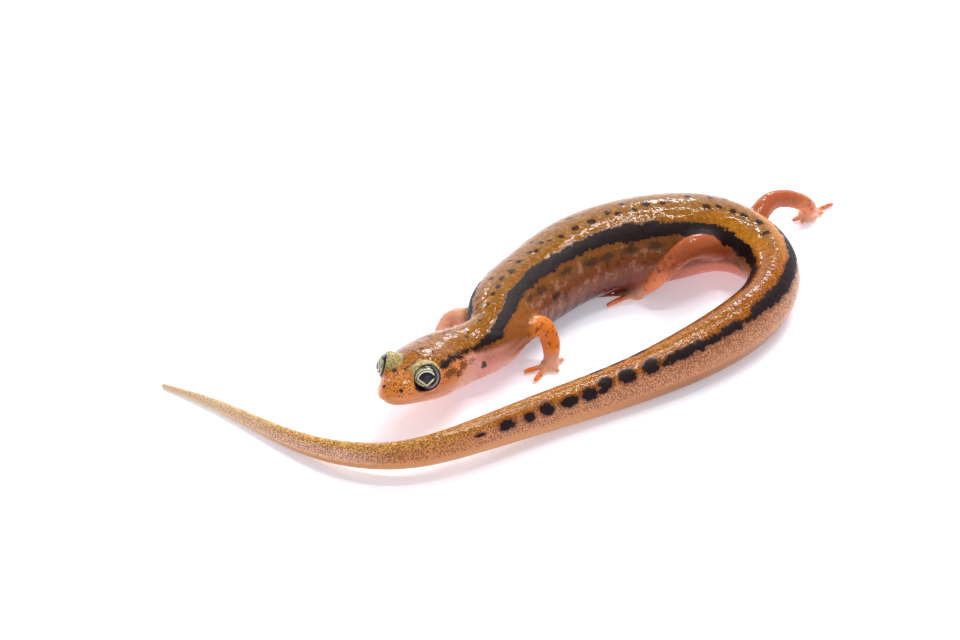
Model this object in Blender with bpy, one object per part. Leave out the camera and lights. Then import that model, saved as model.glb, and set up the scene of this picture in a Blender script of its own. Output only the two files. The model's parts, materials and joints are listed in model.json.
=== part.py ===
# Blue ridge two-lined salamander, a still life-size model.
# Metres, +Z up, floor at z = 0. The tables of sizes are in millimetres.
# +X is the animal's long way across, its left flank looks towards -Y.

import math

import bmesh
import bpy
import numpy as np
from mathutils import Vector

MM = 0.001
# Middle of the model's outline in the tables, taken off every place so that it stands on the origin
TABLE_MIDDLE = (2.25, -2.45, 0.0)

# Body route and girth
# Each row: name, centre x, y, z, half width, rise above and drop below the centre.
STATIONS = (
    ("occiput", -2.60, -10.8, 3.25, 2.30, 1.60, 2.20),
    ("nape", -1.70, -9.45, 3.20, 2.35, 1.70, 2.50),
    ("neck", 0.95, -7.35, 3.38, 2.45, 2.15, 2.45),
    ("shoulder", 2.0, -3.9, 3.42, 3.05, 2.70, 2.90),
    ("chest", 4.4, 0.1, 3.35, 3.35, 3.10, 3.38),
    ("front_trunk", 7.5, 3.5, 3.45, 3.58, 3.40, 3.55),
    ("mid_trunk", 11.6, 5.75, 3.55, 3.65, 3.64, 3.68),
    ("rear_trunk", 15.7, 6.85, 3.58, 3.62, 3.62, 3.58),
    ("pelvis", 19.8, 7.5, 3.25, 3.05, 3.12, 2.98),
    ("vent", 22.5, 6.3, 2.85, 2.50, 2.65, 2.75),
    ("tail_root", 23.8, 3.5, 2.60, 2.25, 2.50, 2.65),
    ("tail_bend", 23.4, -0.1, 2.45, 2.15, 2.45, 2.55),
    ("tail_upper", 20.9, -4.1, 2.35, 2.20, 2.45, 2.45),
    ("tail_fore", 17.1, -7.7, 2.22, 2.05, 2.30, 2.30),
    ("tail_mid", 11.5, -11.5, 1.95, 1.65, 1.95, 2.00),
    ("tail_lift", 5.5, -15.1, 2.00, 1.40, 1.70, 1.75),
    ("tail_arch", 0.0, -18.7, 2.30, 1.15, 1.45, 1.50),
    ("tail_dip", -5.8, -21.0, 2.10, 0.95, 1.20, 1.20),
    ("tail_rear", -11.0, -19.8, 1.42, 0.80, 1.02, 1.02),
    ("tail_thin", -16.2, -16.1, 0.72, 0.60, 0.74, 0.74),
    ("tail_slim", -21.6, -11.7, 0.42, 0.38, 0.44, 0.44),
    ("tail_tip", -25.0, -9.5, 0.24, 0.18, 0.20, 0.26),
)

# Where the nodes part, as stations on the route
PART_NECK_CHEST = 2.35
PART_CHEST_MIDDLE = 5.2
PART_MIDDLE_REAR = 7.1
PART_TRUNK_TAIL = 9.5
PART_TAIL_BASE = 13.0
PART_TAIL_MIDDLE = 16.5
PART_TAIL_REAR = 18.8
TRUNK_LENGTHS = (
    ("torso_front", PART_NECK_CHEST, PART_CHEST_MIDDLE),
    ("torso_middle", PART_CHEST_MIDDLE, PART_MIDDLE_REAR),
    ("torso_rear", PART_MIDDLE_REAR, PART_TRUNK_TAIL),
)
TAIL_LENGTHS = (
    ("tail_base", PART_TRUNK_TAIL, PART_TAIL_BASE),
    ("tail_middle", PART_TAIL_BASE, PART_TAIL_MIDDLE),
    ("tail_rear", PART_TAIL_MIDDLE, PART_TAIL_REAR),
)
NODE_GAP = 0.32

# Rings
TRUNK_SIDES = 28
TAIL_SIDES = 18
TRUNK_RING_STEP = 0.58
TAIL_RING_STEP = 1.15
TIP_ROUNDING = 0.30
TIP_SHARES = (0.5, 0.85)

# Costal grooves of the flank
GROOVE_COUNT = 14
GROOVE_DEPTH = 0.07
GROOVE_START = 3.3
GROOVE_END = 8.0
GROOVE_SPARE = 0.2
# How steeply a groove fades towards the back and the belly, and where it is gone
GROOVE_FADE = 1.4
GROOVE_GONE = 0.35

# Head, in its own axes: x ahead from the nape, y left, z up from the line of the mouth
HEAD_ORIGIN = (-2.26, -8.63, 2.89)
HEAD_YAW = 241.0
HEAD_PITCH = 9.0
HEAD_ROLL = 4.0
HEAD_LENGTH = 10.2
HEAD_LEAN = 0.75
HEAD_LEAN_LENGTH = 4.0
HEAD_SIDES = 44
HEAD_RINGS = 34
# Each row: distance ahead, half width, height above and depth below the mouth.
HEAD_GIRTH = (
    (0.0, 2.40, 2.25, 2.50),
    (0.9, 2.60, 2.38, 2.45),
    (2.1, 2.80, 2.42, 2.35),
    (3.8, 2.98, 2.42, 2.00),
    (5.4, 2.82, 2.45, 1.78),
    (7.0, 2.40, 2.18, 1.42),
    (8.6, 2.02, 1.70, 1.04),
    (10.2, 1.62, 1.34, 0.76),
)
SNOUT_ROUND = 2.3
# The last ring stops just short of the snout's point, and the rings crowd towards it
LAST_RING_SHARE = 0.998
RING_CROWDING = 0.985

# Mouth: a dip below the widest line of the head, between two swollen lips
MOUTH_CORNER = 4.7
MOUTH_FADE = 1.2
MOUTH_SLANT = 17.0
MOUTH_DEPTH = 0.15
MOUTH_WIDTH = 0.07
SIDE_CROWDING = 1.35
LIP_SWELL = 0.06
LIP_AWAY = 0.30
LIP_WIDTH = 0.16
LIP_OVERHANG = 0.22
JAW_HEIGHT = 0.9
SNOUT_TURN = 7.2
SNOUT_TURN_RATE = 0.9

# Eyes and lids
EYE_AHEAD = 7.0
EYE_ASIDE = 1.60
EYE_ABOVE = 1.30
EYE_RADIUS = 1.10
# Each eye: word, side, and how far it is turned outwards and lifted, in degrees
EYES = (("left", 1.0, 42.0, 12.0), ("right", -1.0, 58.0, 14.0))
EYE_SIDES = 22
EYE_RINGS = 12
EYE_GAP = 0.10
LID_SIDES = 26
LID_RINGS = 14
LID_SHELL = 0.15
LID_OPENING = 1.02
SOCKET_SIDES = 28
SOCKET_RINGS = 9
# Each row: how much wider than the opening the cutter is, and how far above the opening
SOCKET_FLARE = ((0.25, 0.5), (0.9, 1.1))
SOCKET_TOP = 1.4
NOSTRIL_AHEAD = 9.45
NOSTRIL_ASIDE = 0.78
NOSTRIL_ABOVE = 0.86
NOSTRIL_RADIUS = 0.17
NOSTRIL_SIDES = 10
NOSTRIL_RINGS = 6

# Limbs: each joint is x, y, z and radius, the first one inside the trunk
ARM_LEFT = (
    ("shoulder", 2.3, -7.5, 2.85, 1.10),
    ("elbow", 4.9, -6.0, 3.60, 0.84),
    ("wrist", 5.7, -6.5, 1.15, 0.66),
    ("palm", 5.55, -6.85, 0.42, 0.50),
)
HAND_LEFT = (0.78, ((3.45, -7.65), (4.3, -8.85), (6.35, -7.6), (6.75, -5.8)))
ARM_RIGHT = (
    ("shoulder", 0.2, -4.6, 2.6, 1.25),
    ("elbow", -2.4, -3.15, 2.3, 0.66),
    ("wrist", -3.3, -4.7, 1.05, 0.56),
    ("palm", -3.45, -5.4, 0.42, 0.45),
)
HAND_RIGHT = (0.74, ((-2.05, -6.6), (-3.65, -7.5), (-5.35, -6.7), (-5.55, -4.8)))
LEG_LEFT = (
    ("hip", 19.8, 6.3, 3.1, 1.60),
    ("knee", 16.5, 2.65, 4.85, 0.92),
    ("ankle", 13.75, 2.85, 1.45, 0.66),
    ("palm", 12.8, 3.25, 0.45, 0.52),
)
FOOT_LEFT = (0.82, ((10.3, 1.65), (9.5, 2.85), (10.6, 3.7), (11.8, 4.4), (13.5, 3.9)))
LEG_RIGHT = (
    ("hip", 22.5, 9.0, 2.90, 1.00),
    ("knee", 24.8, 12.6, 3.50, 0.78),
    ("ankle", 27.7, 14.3, 1.30, 0.62),
    ("palm", 27.6, 14.85, 0.45, 0.52),
)
FOOT_RIGHT = (0.90, ((29.9, 16.8), (29.0, 15.4), (28.1, 14.2), (27.0, 13.8), (26.2, 14.2)))
LIMB_SIDES = 12
LIMB_RING_STEP = 0.60
LIMB_BEND_REACH = 0.45
# Each row: share of a toe's length, and its radius there
TOE_PROFILE = ((0.10, 0.27), (0.5, 0.26), (0.84, 0.23), (0.95, 0.18))
TOE_SIDES = 8
TOE_HEIGHT = 0.25
PALM_SIDES = 16
PALM_RINGS = 9
PALM_FLATNESS = 0.62

# Colour of each kind of node, by the first word of its name
COLOURS = {
    "head": (0.42, 0.17, 0.05), "neck": (0.38, 0.17, 0.05), "torso": (0.30, 0.15, 0.04),
    "tail": (0.45, 0.23, 0.07), "arm": (0.55, 0.20, 0.07), "hand": (0.60, 0.32, 0.18),
    "leg": (0.52, 0.19, 0.07), "foot": (0.60, 0.32, 0.18), "eye": (0.02, 0.02, 0.015),
}
SKIN_ROUGHNESS = 0.32
EYE_ROUGHNESS = 0.12

# Span of the route, as stations, whose shape a limb's root is cut to
ROOT_CUT_START = 0.6
ROOT_CUT_END = 11.0
SOLE_LIMIT = 0.3
BELOW_FLOOR = -0.5
CUT_SPARE = 0.5


def clear_scene():
    """Remove every object and mesh that a new file starts with."""
    for thing in list(bpy.data.objects):
        bpy.data.objects.remove(thing, do_unlink=True)
    for mesh in list(bpy.data.meshes):
        bpy.data.meshes.remove(mesh)


def spline(knots, values):
    """Natural cubic spline through rows of values; returns a function of the knot number."""
    knots = np.asarray(knots, float)
    values = np.asarray(values, float)
    gaps = np.diff(knots)
    count = len(knots)
    matrix = np.eye(count)
    right = np.zeros_like(values)
    for row in range(1, count - 1):
        matrix[row, row - 1] = gaps[row - 1]
        matrix[row, row] = 2.0 * (gaps[row - 1] + gaps[row])
        matrix[row, row + 1] = gaps[row]
        rise_after = (values[row + 1] - values[row]) / gaps[row]
        rise_before = (values[row] - values[row - 1]) / gaps[row - 1]
        right[row] = 6.0 * (rise_after - rise_before)
    bend = np.linalg.solve(matrix, right)

    def evaluate(at):
        at = np.atleast_1d(np.asarray(at, float))
        cell = np.clip(np.searchsorted(knots, at) - 1, 0, count - 2)
        gap = gaps[cell][:, None]
        before = (knots[cell + 1] - at)[:, None]
        after = (at - knots[cell])[:, None]
        low, high = values[cell], values[cell + 1]
        low_bend, high_bend = bend[cell], bend[cell + 1]
        curve = (low_bend * before ** 3 + high_bend * after ** 3) / (6.0 * gap)
        line = (low / gap - low_bend * gap / 6.0) * before + (high / gap - high_bend * gap / 6.0) * after
        return curve + line

    return evaluate


def unit(vectors):
    """Each vector scaled to length one."""
    return vectors / np.linalg.norm(vectors, axis=-1, keepdims=True)


def make_route():
    """Dense samples of the body's route: station number, length, centre, girth and axes."""
    numbers = np.arange(len(STATIONS), dtype=float)
    rows = np.array([row[1:] for row in STATIONS])
    chords = np.linalg.norm(np.diff(rows[:, :3], axis=0), axis=1)
    knots = np.concatenate(([0.0], np.cumsum(chords)))
    dense = np.linspace(0.0, knots[-1], 4001)
    table = spline(knots, rows)(dense)
    steps = np.linalg.norm(np.diff(table[:, :3], axis=0), axis=1)
    length = np.concatenate(([0.0], np.cumsum(steps)))
    station = np.interp(dense, knots, numbers)
    return station, length, table


ROUTE = make_route()


def route_length(station):
    """Distance from the nape along the route to a station number."""
    return float(np.interp(station, ROUTE[0], ROUTE[1]))


def route_rows(lengths):
    """Centre, left and up directions, and girth at distances along the route."""
    rows = np.stack([np.interp(lengths, ROUTE[1], ROUTE[2][:, k]) for k in range(6)], axis=1)
    ahead = np.stack([np.interp(lengths - 0.05, ROUTE[1], ROUTE[2][:, k]) for k in range(3)], axis=1)
    behind = np.stack([np.interp(lengths + 0.05, ROUTE[1], ROUTE[2][:, k]) for k in range(3)], axis=1)
    forward = unit(ahead - behind)
    left = unit(np.cross(np.array([0.0, 0.0, 1.0]), forward))
    up = np.cross(forward, left)
    return rows[:, :3], left, up, rows[:, 3:]


def grooves(lengths, angles):
    """Depth of the costal grooves: narrow dips at even distances, only on the flanks."""
    start = route_length(GROOVE_START)
    end = route_length(GROOVE_END)
    turn = (lengths - start) / (end - start) * GROOVE_COUNT
    dip = (0.5 + 0.5 * np.cos(2.0 * np.pi * turn)) ** 2
    inside = (lengths > start - GROOVE_SPARE) & (lengths < end + GROOVE_SPARE)
    flank = np.clip(np.abs(np.cos(angles)) * GROOVE_FADE - GROOVE_GONE, 0.0, 1.0)
    return GROOVE_DEPTH * np.outer(dip * inside, flank)


def body_rings(lengths, sides):
    """Rings of the trunk and tail: an oval round each centre, flat where it rests on the floor."""
    centre, left, up, girth = route_rows(lengths)
    angles = 2.0 * np.pi * (np.arange(sides) + 0.5) / sides
    across = np.cos(angles)
    along = np.sin(angles)
    height = np.where(along > 0.0, girth[:, 1:2], girth[:, 2:3])
    inset = grooves(lengths, angles)
    wide = (girth[:, 0:1] - inset) * across
    tall = (height - inset) * along
    points = centre[:, None, :] + wide[:, :, None] * left[:, None, :] + tall[:, :, None] * up[:, None, :]
    points[:, :, 2] = np.maximum(points[:, :, 2], 0.0)
    return points


def mesh_object(name, verts, faces):
    """A mesh object from points in millimetres, with its faces turned outwards."""
    mesh = bpy.data.meshes.new(name)
    mesh.from_pydata((MM * (np.array(verts, float) - np.array(TABLE_MIDDLE))).tolist(), [], faces)
    shape = bmesh.new()
    shape.from_mesh(mesh)
    bmesh.ops.recalc_face_normals(shape, faces=shape.faces)
    shape.to_mesh(mesh)
    shape.free()
    for face in mesh.polygons:
        face.use_smooth = True
    thing = bpy.data.objects.new(name, mesh)
    bpy.context.collection.objects.link(thing)
    return thing


def loft(name, rings):
    """A closed tube through rings of points, with a flat face at each end."""
    count, sides = rings.shape[:2]
    verts = rings.reshape(-1, 3)
    faces = []
    for ring in range(count - 1):
        for side in range(sides):
            after = (side + 1) % sides
            base = ring * sides
            faces.append((base + side, base + after, base + sides + after, base + sides + side))
    faces.append(tuple(range(sides)))
    faces.append(tuple(range((count - 1) * sides, count * sides)))
    return mesh_object(name, verts, faces)


def cut_square(thing, place, ahead):
    """Cut a tube with a plane and close it: what lies ahead of the place is taken off."""
    normal = Vector(ahead)
    point = MM * (Vector(place) - Vector(TABLE_MIDDLE))
    shape = bmesh.new()
    shape.from_mesh(thing.data)
    everything = shape.verts[:] + shape.edges[:] + shape.faces[:]
    bmesh.ops.bisect_plane(shape, geom=everything, plane_co=point, plane_no=normal, clear_outer=True)
    rim = [edge for edge in shape.edges if edge.is_boundary]
    bmesh.ops.holes_fill(shape, edges=rim)
    bmesh.ops.recalc_face_normals(shape, faces=shape.faces)
    shape.to_mesh(thing.data)
    shape.free()


def part_from_next(thing, length, towards_tail):
    """Cut a length of the body square, half a gap short of a place on the route."""
    centre, left, up, _ = route_rows(np.array([length]))
    ahead = np.cross(up[0], left[0]) * (1.0 if towards_tail else -1.0)
    cut_square(thing, centre[0] - 0.5 * NODE_GAP * ahead, ahead)


def body_length(name, start, end, sides, step):
    """One length of the body between two stations, half a gap short at each end."""
    first = route_length(start)
    last = route_length(end)
    spare = CUT_SPARE if start > 0 else 0.0
    count = max(3, int(round((last - first) / step)) + 1)
    thing = loft(name, body_rings(np.linspace(first - spare, last + CUT_SPARE, count), sides))
    part_from_next(thing, last, True)
    if start > 0:
        part_from_next(thing, first, False)
    return thing


def tail_end(name, start):
    """The last length of the tail, rounded off at its tip."""
    first = route_length(start)
    last = float(ROUTE[1][-1])
    shaft = np.linspace(first - CUT_SPARE, last, int((last - first) / TAIL_RING_STEP) + 1)
    rings = body_rings(shaft, TAIL_SIDES)
    centre, left, up, girth = route_rows(shaft[-1:])
    out = -np.cross(left, up)
    caps = []
    for share in TIP_SHARES:
        shrink = math.sqrt(1.0 - share * share)
        caps.append(centre + out * TIP_ROUNDING * share + (rings[-1] - centre) * shrink)
    rings = np.concatenate((rings, np.stack(caps)))
    rings[:, :, 2] = np.maximum(rings[:, :, 2], 0.0)
    thing = loft(name, rings)
    part_from_next(thing, first, False)
    return thing


def head_axes():
    """The head's forward, left and up directions in the world."""
    yaw = math.radians(HEAD_YAW)
    pitch = math.radians(HEAD_PITCH)
    roll = math.radians(HEAD_ROLL)
    forward = np.array([math.cos(yaw) * math.cos(pitch), math.sin(yaw) * math.cos(pitch), math.sin(pitch)])
    level = np.array([-math.sin(yaw), math.cos(yaw), 0.0])
    upright = np.cross(forward, level)
    left = math.cos(roll) * level + math.sin(roll) * upright
    return forward, left, np.cross(forward, left)


def head_world(points):
    """Points of the head's own axes placed in the world."""
    forward, left, up = head_axes()
    points = np.asarray(points, float)
    return (np.array(HEAD_ORIGIN) + points[..., 0:1] * forward
            + points[..., 1:2] * left + points[..., 2:3] * up)


def head_angles():
    """Angles of a head ring from the left corner of the mouth over the crown, crowding at the mouth."""
    quarter = HEAD_SIDES // 4
    share = (np.arange(quarter) / quarter) ** SIDE_CROWDING
    start = -math.radians(MOUTH_SLANT)
    upper = start + (0.5 * np.pi - start) * share
    lower = start - (0.5 * np.pi + start) * share
    crown = np.concatenate((upper, [0.5 * np.pi], np.pi - upper[::-1]))
    return np.concatenate((crown, np.pi - lower[1:], [1.5 * np.pi], 2.0 * np.pi + lower[:0:-1]))


def head_rings():
    """Rings of the head from the nape to the snout, with the lips and the line of the mouth."""
    table = np.array(HEAD_GIRTH)
    girth = spline(table[:, 0], table[:, 1:])
    turn = 0.5 * np.pi * RING_CROWDING * np.linspace(0.0, 1.0, HEAD_RINGS)
    ahead = HEAD_LENGTH * LAST_RING_SHARE * np.sin(turn) / math.sin(turn[-1])
    round_off = (1.0 - (ahead / HEAD_LENGTH) ** (3.0 * SNOUT_ROUND)) ** (1.0 / SNOUT_ROUND)
    sizes = girth(ahead) * round_off[:, None]
    angles = head_angles()
    across = np.cos(angles)
    rise = np.sin(angles)
    height = np.where(rise >= 0.0, sizes[:, 1:2], sizes[:, 2:3])
    wide = sizes[:, 0:1] * across
    tall = height * rise
    lean = HEAD_LEAN * np.clip(1.0 - ahead / HEAD_LEAN_LENGTH, 0.0, 1.0) ** 2
    points = np.stack((np.repeat(ahead[:, None], len(angles), axis=1), wide + lean[:, None], tall), axis=-1)

    # The mouth is a narrow dip between two swollen lips, the upper one lying over the lower.
    open_share = np.clip((ahead - MOUTH_CORNER) / MOUTH_FADE, 0.0, 1.0)[:, None]
    over = tall + sizes[:, 2:3] * math.sin(math.radians(MOUTH_SLANT))
    dip = MOUTH_DEPTH * np.exp(-(over / MOUTH_WIDTH) ** 2)
    swell = LIP_SWELL * np.exp(-((np.abs(over) - LIP_AWAY) / LIP_WIDTH) ** 2)
    overhang = LIP_OVERHANG * np.exp(-(over / JAW_HEIGHT) ** 2) * (over < -0.3 * MOUTH_WIDTH)
    move = open_share * (swell - dip - overhang)
    forwards = np.clip(ahead - SNOUT_TURN, 0.0, None)[:, None] * SNOUT_TURN_RATE * np.ones_like(wide)
    flat = np.stack((forwards, wide, np.zeros_like(wide)), axis=-1)
    outward = flat / np.maximum(np.linalg.norm(flat, axis=-1, keepdims=True), 1e-6)
    points = points + move[:, :, None] * outward
    return points


def ball(name, centre, radius, sides, rings, axis=(0.0, 0.0, 1.0)):
    """A closed ball from rings round an axis."""
    axis = unit(np.array(axis, float))
    helper = np.array([0.0, 0.0, 1.0]) if abs(axis[2]) < 0.9 else np.array([1.0, 0.0, 0.0])
    side = unit(np.cross(helper, axis))
    other = np.cross(axis, side)
    profile = [(radius * math.sin(math.pi * k / rings), -radius * math.cos(math.pi * k / rings))
               for k in range(1, rings)]
    return lathe(name, centre, axis, side, other, profile, -radius, radius, sides)


def lathe(name, centre, axis, side, other, profile, low, high, sides):
    """A closed turned shape: rows of radius and distance along an axis, with a point at each end."""
    centre = np.asarray(centre, float)
    verts = [centre + axis * low]
    for radius, along in profile:
        for k in range(sides):
            angle = 2.0 * math.pi * k / sides
            verts.append(centre + axis * along + radius * (math.cos(angle) * side + math.sin(angle) * other))
    verts.append(centre + axis * high)
    faces = []
    rings = len(profile)
    for k in range(sides):
        after = (k + 1) % sides
        faces.append((0, 1 + after, 1 + k))
        for ring in range(rings - 1):
            base = 1 + ring * sides
            faces.append((base + k, base + after, base + sides + after, base + sides + k))
        base = 1 + (rings - 1) * sides
        faces.append((base + k, base + after, len(verts) - 1))
    return mesh_object(name, verts, faces)


def make_neck():
    """The neck, cut square behind the head with one gap between them."""
    neck = body_length("neck", 0.0, PART_NECK_CHEST, TRUNK_SIDES, TRUNK_RING_STEP)
    forward = head_axes()[0]
    cut_square(neck, np.array(HEAD_ORIGIN) - forward * NODE_GAP, forward)
    return neck


def eye_place(side, turn, lift):
    """Centre and looking direction of an eye; side is +1 for the left eye."""
    forward, left, up = head_axes()
    centre = head_world((EYE_AHEAD, side * EYE_ASIDE, EYE_ABOVE))
    turn = math.radians(turn)
    lift = math.radians(lift)
    look = (math.cos(turn) * math.cos(lift) * forward + side * math.sin(turn) * math.cos(lift) * left
            + math.sin(lift) * up)
    around = unit(np.cross(up, look))
    return centre, look, around, np.cross(look, around)


def socket(name, place):
    """Cutter for an eye: a ball a little wider than the eye, open through the lids."""
    centre, look, around, other = place
    radius = EYE_RADIUS + EYE_GAP
    edge = math.asin(LID_OPENING / radius)
    mouth = radius * math.cos(edge)
    profile = []
    for k in range(1, SOCKET_RINGS + 1):
        angle = math.pi - (math.pi - edge) * k / SOCKET_RINGS
        profile.append((radius * math.sin(angle), radius * math.cos(angle)))
    for wider, higher in SOCKET_FLARE:
        profile.append((LID_OPENING + wider, mouth + higher))
    return lathe(name, centre, look, around, other, profile, -radius, mouth + SOCKET_TOP, SOCKET_SIDES)


def combine(target, others, operation):
    """Join or cut a node with the closed meshes of one collection, then drop them."""
    group = bpy.data.collections.new(target.name + "_tools")
    for thing in others:
        bpy.context.collection.objects.unlink(thing)
        group.objects.link(thing)
        thing.hide_render = True
        thing.display_type = "WIRE"
    modifier = target.modifiers.new(operation.lower(), "BOOLEAN")
    modifier.operation = operation
    modifier.operand_type = "COLLECTION"
    modifier.collection = group
    modifier.solver = "EXACT"
    bpy.context.view_layer.update()
    evaluated = target.evaluated_get(bpy.context.evaluated_depsgraph_get())
    mesh = bpy.data.meshes.new_from_object(evaluated)
    target.modifiers.clear()
    target.data = mesh
    for thing in list(group.objects):
        bpy.data.objects.remove(thing, do_unlink=True)
    bpy.data.collections.remove(group)
    keep_largest(target)
    return target


def keep_largest(thing):
    """Keep the closed surface with the most faces and merge points that lie together."""
    shape = bmesh.new()
    shape.from_mesh(thing.data)
    bmesh.ops.remove_doubles(shape, verts=shape.verts, dist=0.002 * MM)
    shape.faces.ensure_lookup_table()
    seen = set()
    groups = []
    for start in shape.faces:
        if start.index in seen:
            continue
        seen.add(start.index)
        group = [start]
        for face in group:
            for edge in face.edges:
                for other in edge.link_faces:
                    if other.index not in seen:
                        seen.add(other.index)
                        group.append(other)
        groups.append(group)
    groups.sort(key=len)
    for group in groups[:-1]:
        bmesh.ops.delete(shape, geom=group, context="FACES")
    loose = [vert for vert in shape.verts if not vert.link_faces]
    bmesh.ops.delete(shape, geom=loose, context="VERTS")
    for face in shape.faces:
        face.smooth = True
    shape.to_mesh(thing.data)
    shape.free()


def make_head():
    """The head with lid rims, sockets, nostrils, lips and the line of the mouth."""
    points = head_rings()
    tip = np.array([[HEAD_LENGTH, 0.0, 0.0]])
    count, sides = points.shape[:2]
    verts = np.concatenate((head_world(points.reshape(-1, 3)), head_world(tip)))
    faces = []
    for ring in range(count - 1):
        for side in range(sides):
            after = (side + 1) % sides
            base = ring * sides
            faces.append((base + side, base + after, base + sides + after, base + sides + side))
    last = (count - 1) * sides
    for side in range(sides):
        faces.append((last + side, last + (side + 1) % sides, len(verts) - 1))
    faces.append(tuple(range(sides)))
    head = mesh_object("head", verts, faces)
    domes = []
    cutters = []
    for label, side, turn, lift in EYES:
        place = eye_place(side, turn, lift)
        radius = EYE_RADIUS + EYE_GAP + LID_SHELL
        domes.append(ball("lid_" + label, place[0], radius, LID_SIDES, LID_RINGS, place[1]))
        cutters.append(socket("socket_" + label, place))
        nostril = head_world((NOSTRIL_AHEAD, side * NOSTRIL_ASIDE, NOSTRIL_ABOVE))
        cutters.append(ball("nostril_" + label, nostril, NOSTRIL_RADIUS, NOSTRIL_SIDES, NOSTRIL_RINGS))
    combine(head, domes, "UNION")
    combine(head, cutters, "DIFFERENCE")
    return head


def make_eye(label, side, turn, lift):
    """An eyeball, a plain closed ball turned to look outwards."""
    place = eye_place(side, turn, lift)
    return ball("eye_" + label, place[0], EYE_RADIUS, EYE_SIDES, EYE_RINGS, place[1])


def limb_route(joints):
    """Dense samples of a limb's path: length, centre and radius, and the length at each joint."""
    rows = np.array([joint[1:] for joint in joints])
    chords = np.linalg.norm(np.diff(rows[:, :3], axis=0), axis=1)
    knots = np.concatenate(([0.0], np.cumsum(chords)))
    dense = np.linspace(0.0, knots[-1], 801)
    table = spline(knots, rows)(dense)
    steps = np.linalg.norm(np.diff(table[:, :3], axis=0), axis=1)
    length = np.concatenate(([0.0], np.cumsum(steps)))
    return length, table, np.interp(knots, dense, length)


def limb_length(name, route, first, last):
    """One length of a limb between two distances along its path: a round tube, square at both ends."""
    length, table, _ = route
    count = max(4, int(round((last - first) / LIMB_RING_STEP)) + 1)
    at = np.linspace(first, last, count)
    rows = np.stack([np.interp(at, length, table[:, k]) for k in range(4)], axis=1)
    reach = LIMB_BEND_REACH
    after = np.stack([np.interp(at + reach, length, table[:, k]) for k in range(3)], axis=1)
    before = np.stack([np.interp(at - reach, length, table[:, k]) for k in range(3)], axis=1)
    axis = unit(after - before)
    side = np.zeros_like(axis)
    side[0] = unit(np.cross(axis[0], np.array([0.0, 0.0, 1.0])))
    for k in range(1, count):
        side[k] = unit(side[k - 1] - axis[k] * np.dot(side[k - 1], axis[k]))
    other = np.cross(axis, side)
    angles = 2.0 * np.pi * np.arange(LIMB_SIDES) / LIMB_SIDES
    spokes = np.cos(angles)[None, :, None] * side[:, None, :]
    spokes = spokes + np.sin(angles)[None, :, None] * other[:, None, :]
    rings = rows[:, None, :3] + rows[:, None, 3:4] * spokes
    rings[:, :, 2] = np.maximum(rings[:, :, 2], 0.0)
    return loft(name, rings)


def wide_body():
    """Cutter in the shape of the neck, trunk and tail root, one gap wider all round."""
    first = route_length(ROOT_CUT_START)
    last = route_length(ROOT_CUT_END)
    lengths = np.linspace(first, last, int((last - first) / TRUNK_RING_STEP))
    centre = route_rows(lengths)[0]
    rings = body_rings(lengths, TRUNK_SIDES)
    out = unit(rings - centre[:, None, :])
    rings = rings + NODE_GAP * out
    rings[:, :, 2] = np.where(rings[:, :, 2] < SOLE_LIMIT, BELOW_FLOOR, rings[:, :, 2])
    return loft("wide_body", rings)


def toe(name, start, end):
    """One toe: a short rounded tube resting on the floor."""
    first = np.array(start)
    last = np.array(end)
    axis = unit(last - first)
    side = unit(np.cross(axis, np.array([0.0, 0.0, 1.0])))
    other = np.cross(axis, side)
    span = np.linalg.norm(last - first)
    rows = [(radius, span * share) for share, radius in TOE_PROFILE]
    thing = lathe(name, first, axis, side, other, rows, 0.0, span, TOE_SIDES)
    flatten(thing)
    return thing


def flatten(thing):
    """Press whatever lies under the floor up onto it."""
    for vert in thing.data.vertices:
        vert.co.z = max(vert.co.z, 0.0)


def make_limb(upper, lower, end, joints, foot):
    """A limb in three nodes: the length at the body, the next one, and the palm with its toes."""
    route = limb_route(joints)
    middle, far, tip = route[2][1:]
    first = limb_length(upper, route, 0.0, middle + CUT_SPARE)
    cut_joint(first, route, middle, 1.0)
    combine(first, [wide_body()], "DIFFERENCE")
    second = limb_length(lower, route, middle - CUT_SPARE, far + CUT_SPARE)
    cut_joint(second, route, middle, -1.0)
    cut_joint(second, route, far, 1.0)
    combine(second, [wide_body()], "DIFFERENCE")
    radius, toes = foot
    centre = np.array(joints[3][1:4])
    palm = ball(end, centre, radius, PALM_SIDES, PALM_RINGS)
    for vert in palm.data.vertices:
        vert.co.z = centre[2] * MM + (vert.co.z - centre[2] * MM) * PALM_FLATNESS
    flatten(palm)
    root = np.array((centre[0], centre[1], TOE_HEIGHT))
    pieces = [toe(end + "_toe", root, (x, y, TOE_HEIGHT)) for x, y in toes]
    pieces.append(limb_length(end + "_root", route, far - CUT_SPARE, tip))
    combine(palm, pieces, "UNION")
    cut_joint(palm, route, far, -1.0)
    combine(palm, [wide_body()], "DIFFERENCE")
    return [first, second, palm]


def cut_joint(thing, route, length, onward):
    """Cut a length of a limb square, half a gap short of a joint."""
    lengths, table, _ = route
    points = [np.array([np.interp(at, lengths, table[:, k]) for k in range(3)])
              for at in (length - LIMB_BEND_REACH, length, length + LIMB_BEND_REACH)]
    ahead = onward * unit(points[2] - points[0])
    cut_square(thing, points[1] - 0.5 * NODE_GAP * ahead, ahead)


def material(name, colour, roughness):
    """A plain skin material of one colour."""
    skin = bpy.data.materials.new(name)
    skin.use_nodes = True
    shader = skin.node_tree.nodes["Principled BSDF"]
    shader.inputs["Base Color"].default_value = (*colour, 1.0)
    shader.inputs["Roughness"].default_value = roughness
    shader.inputs["Metallic"].default_value = 0.0
    return skin


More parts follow.
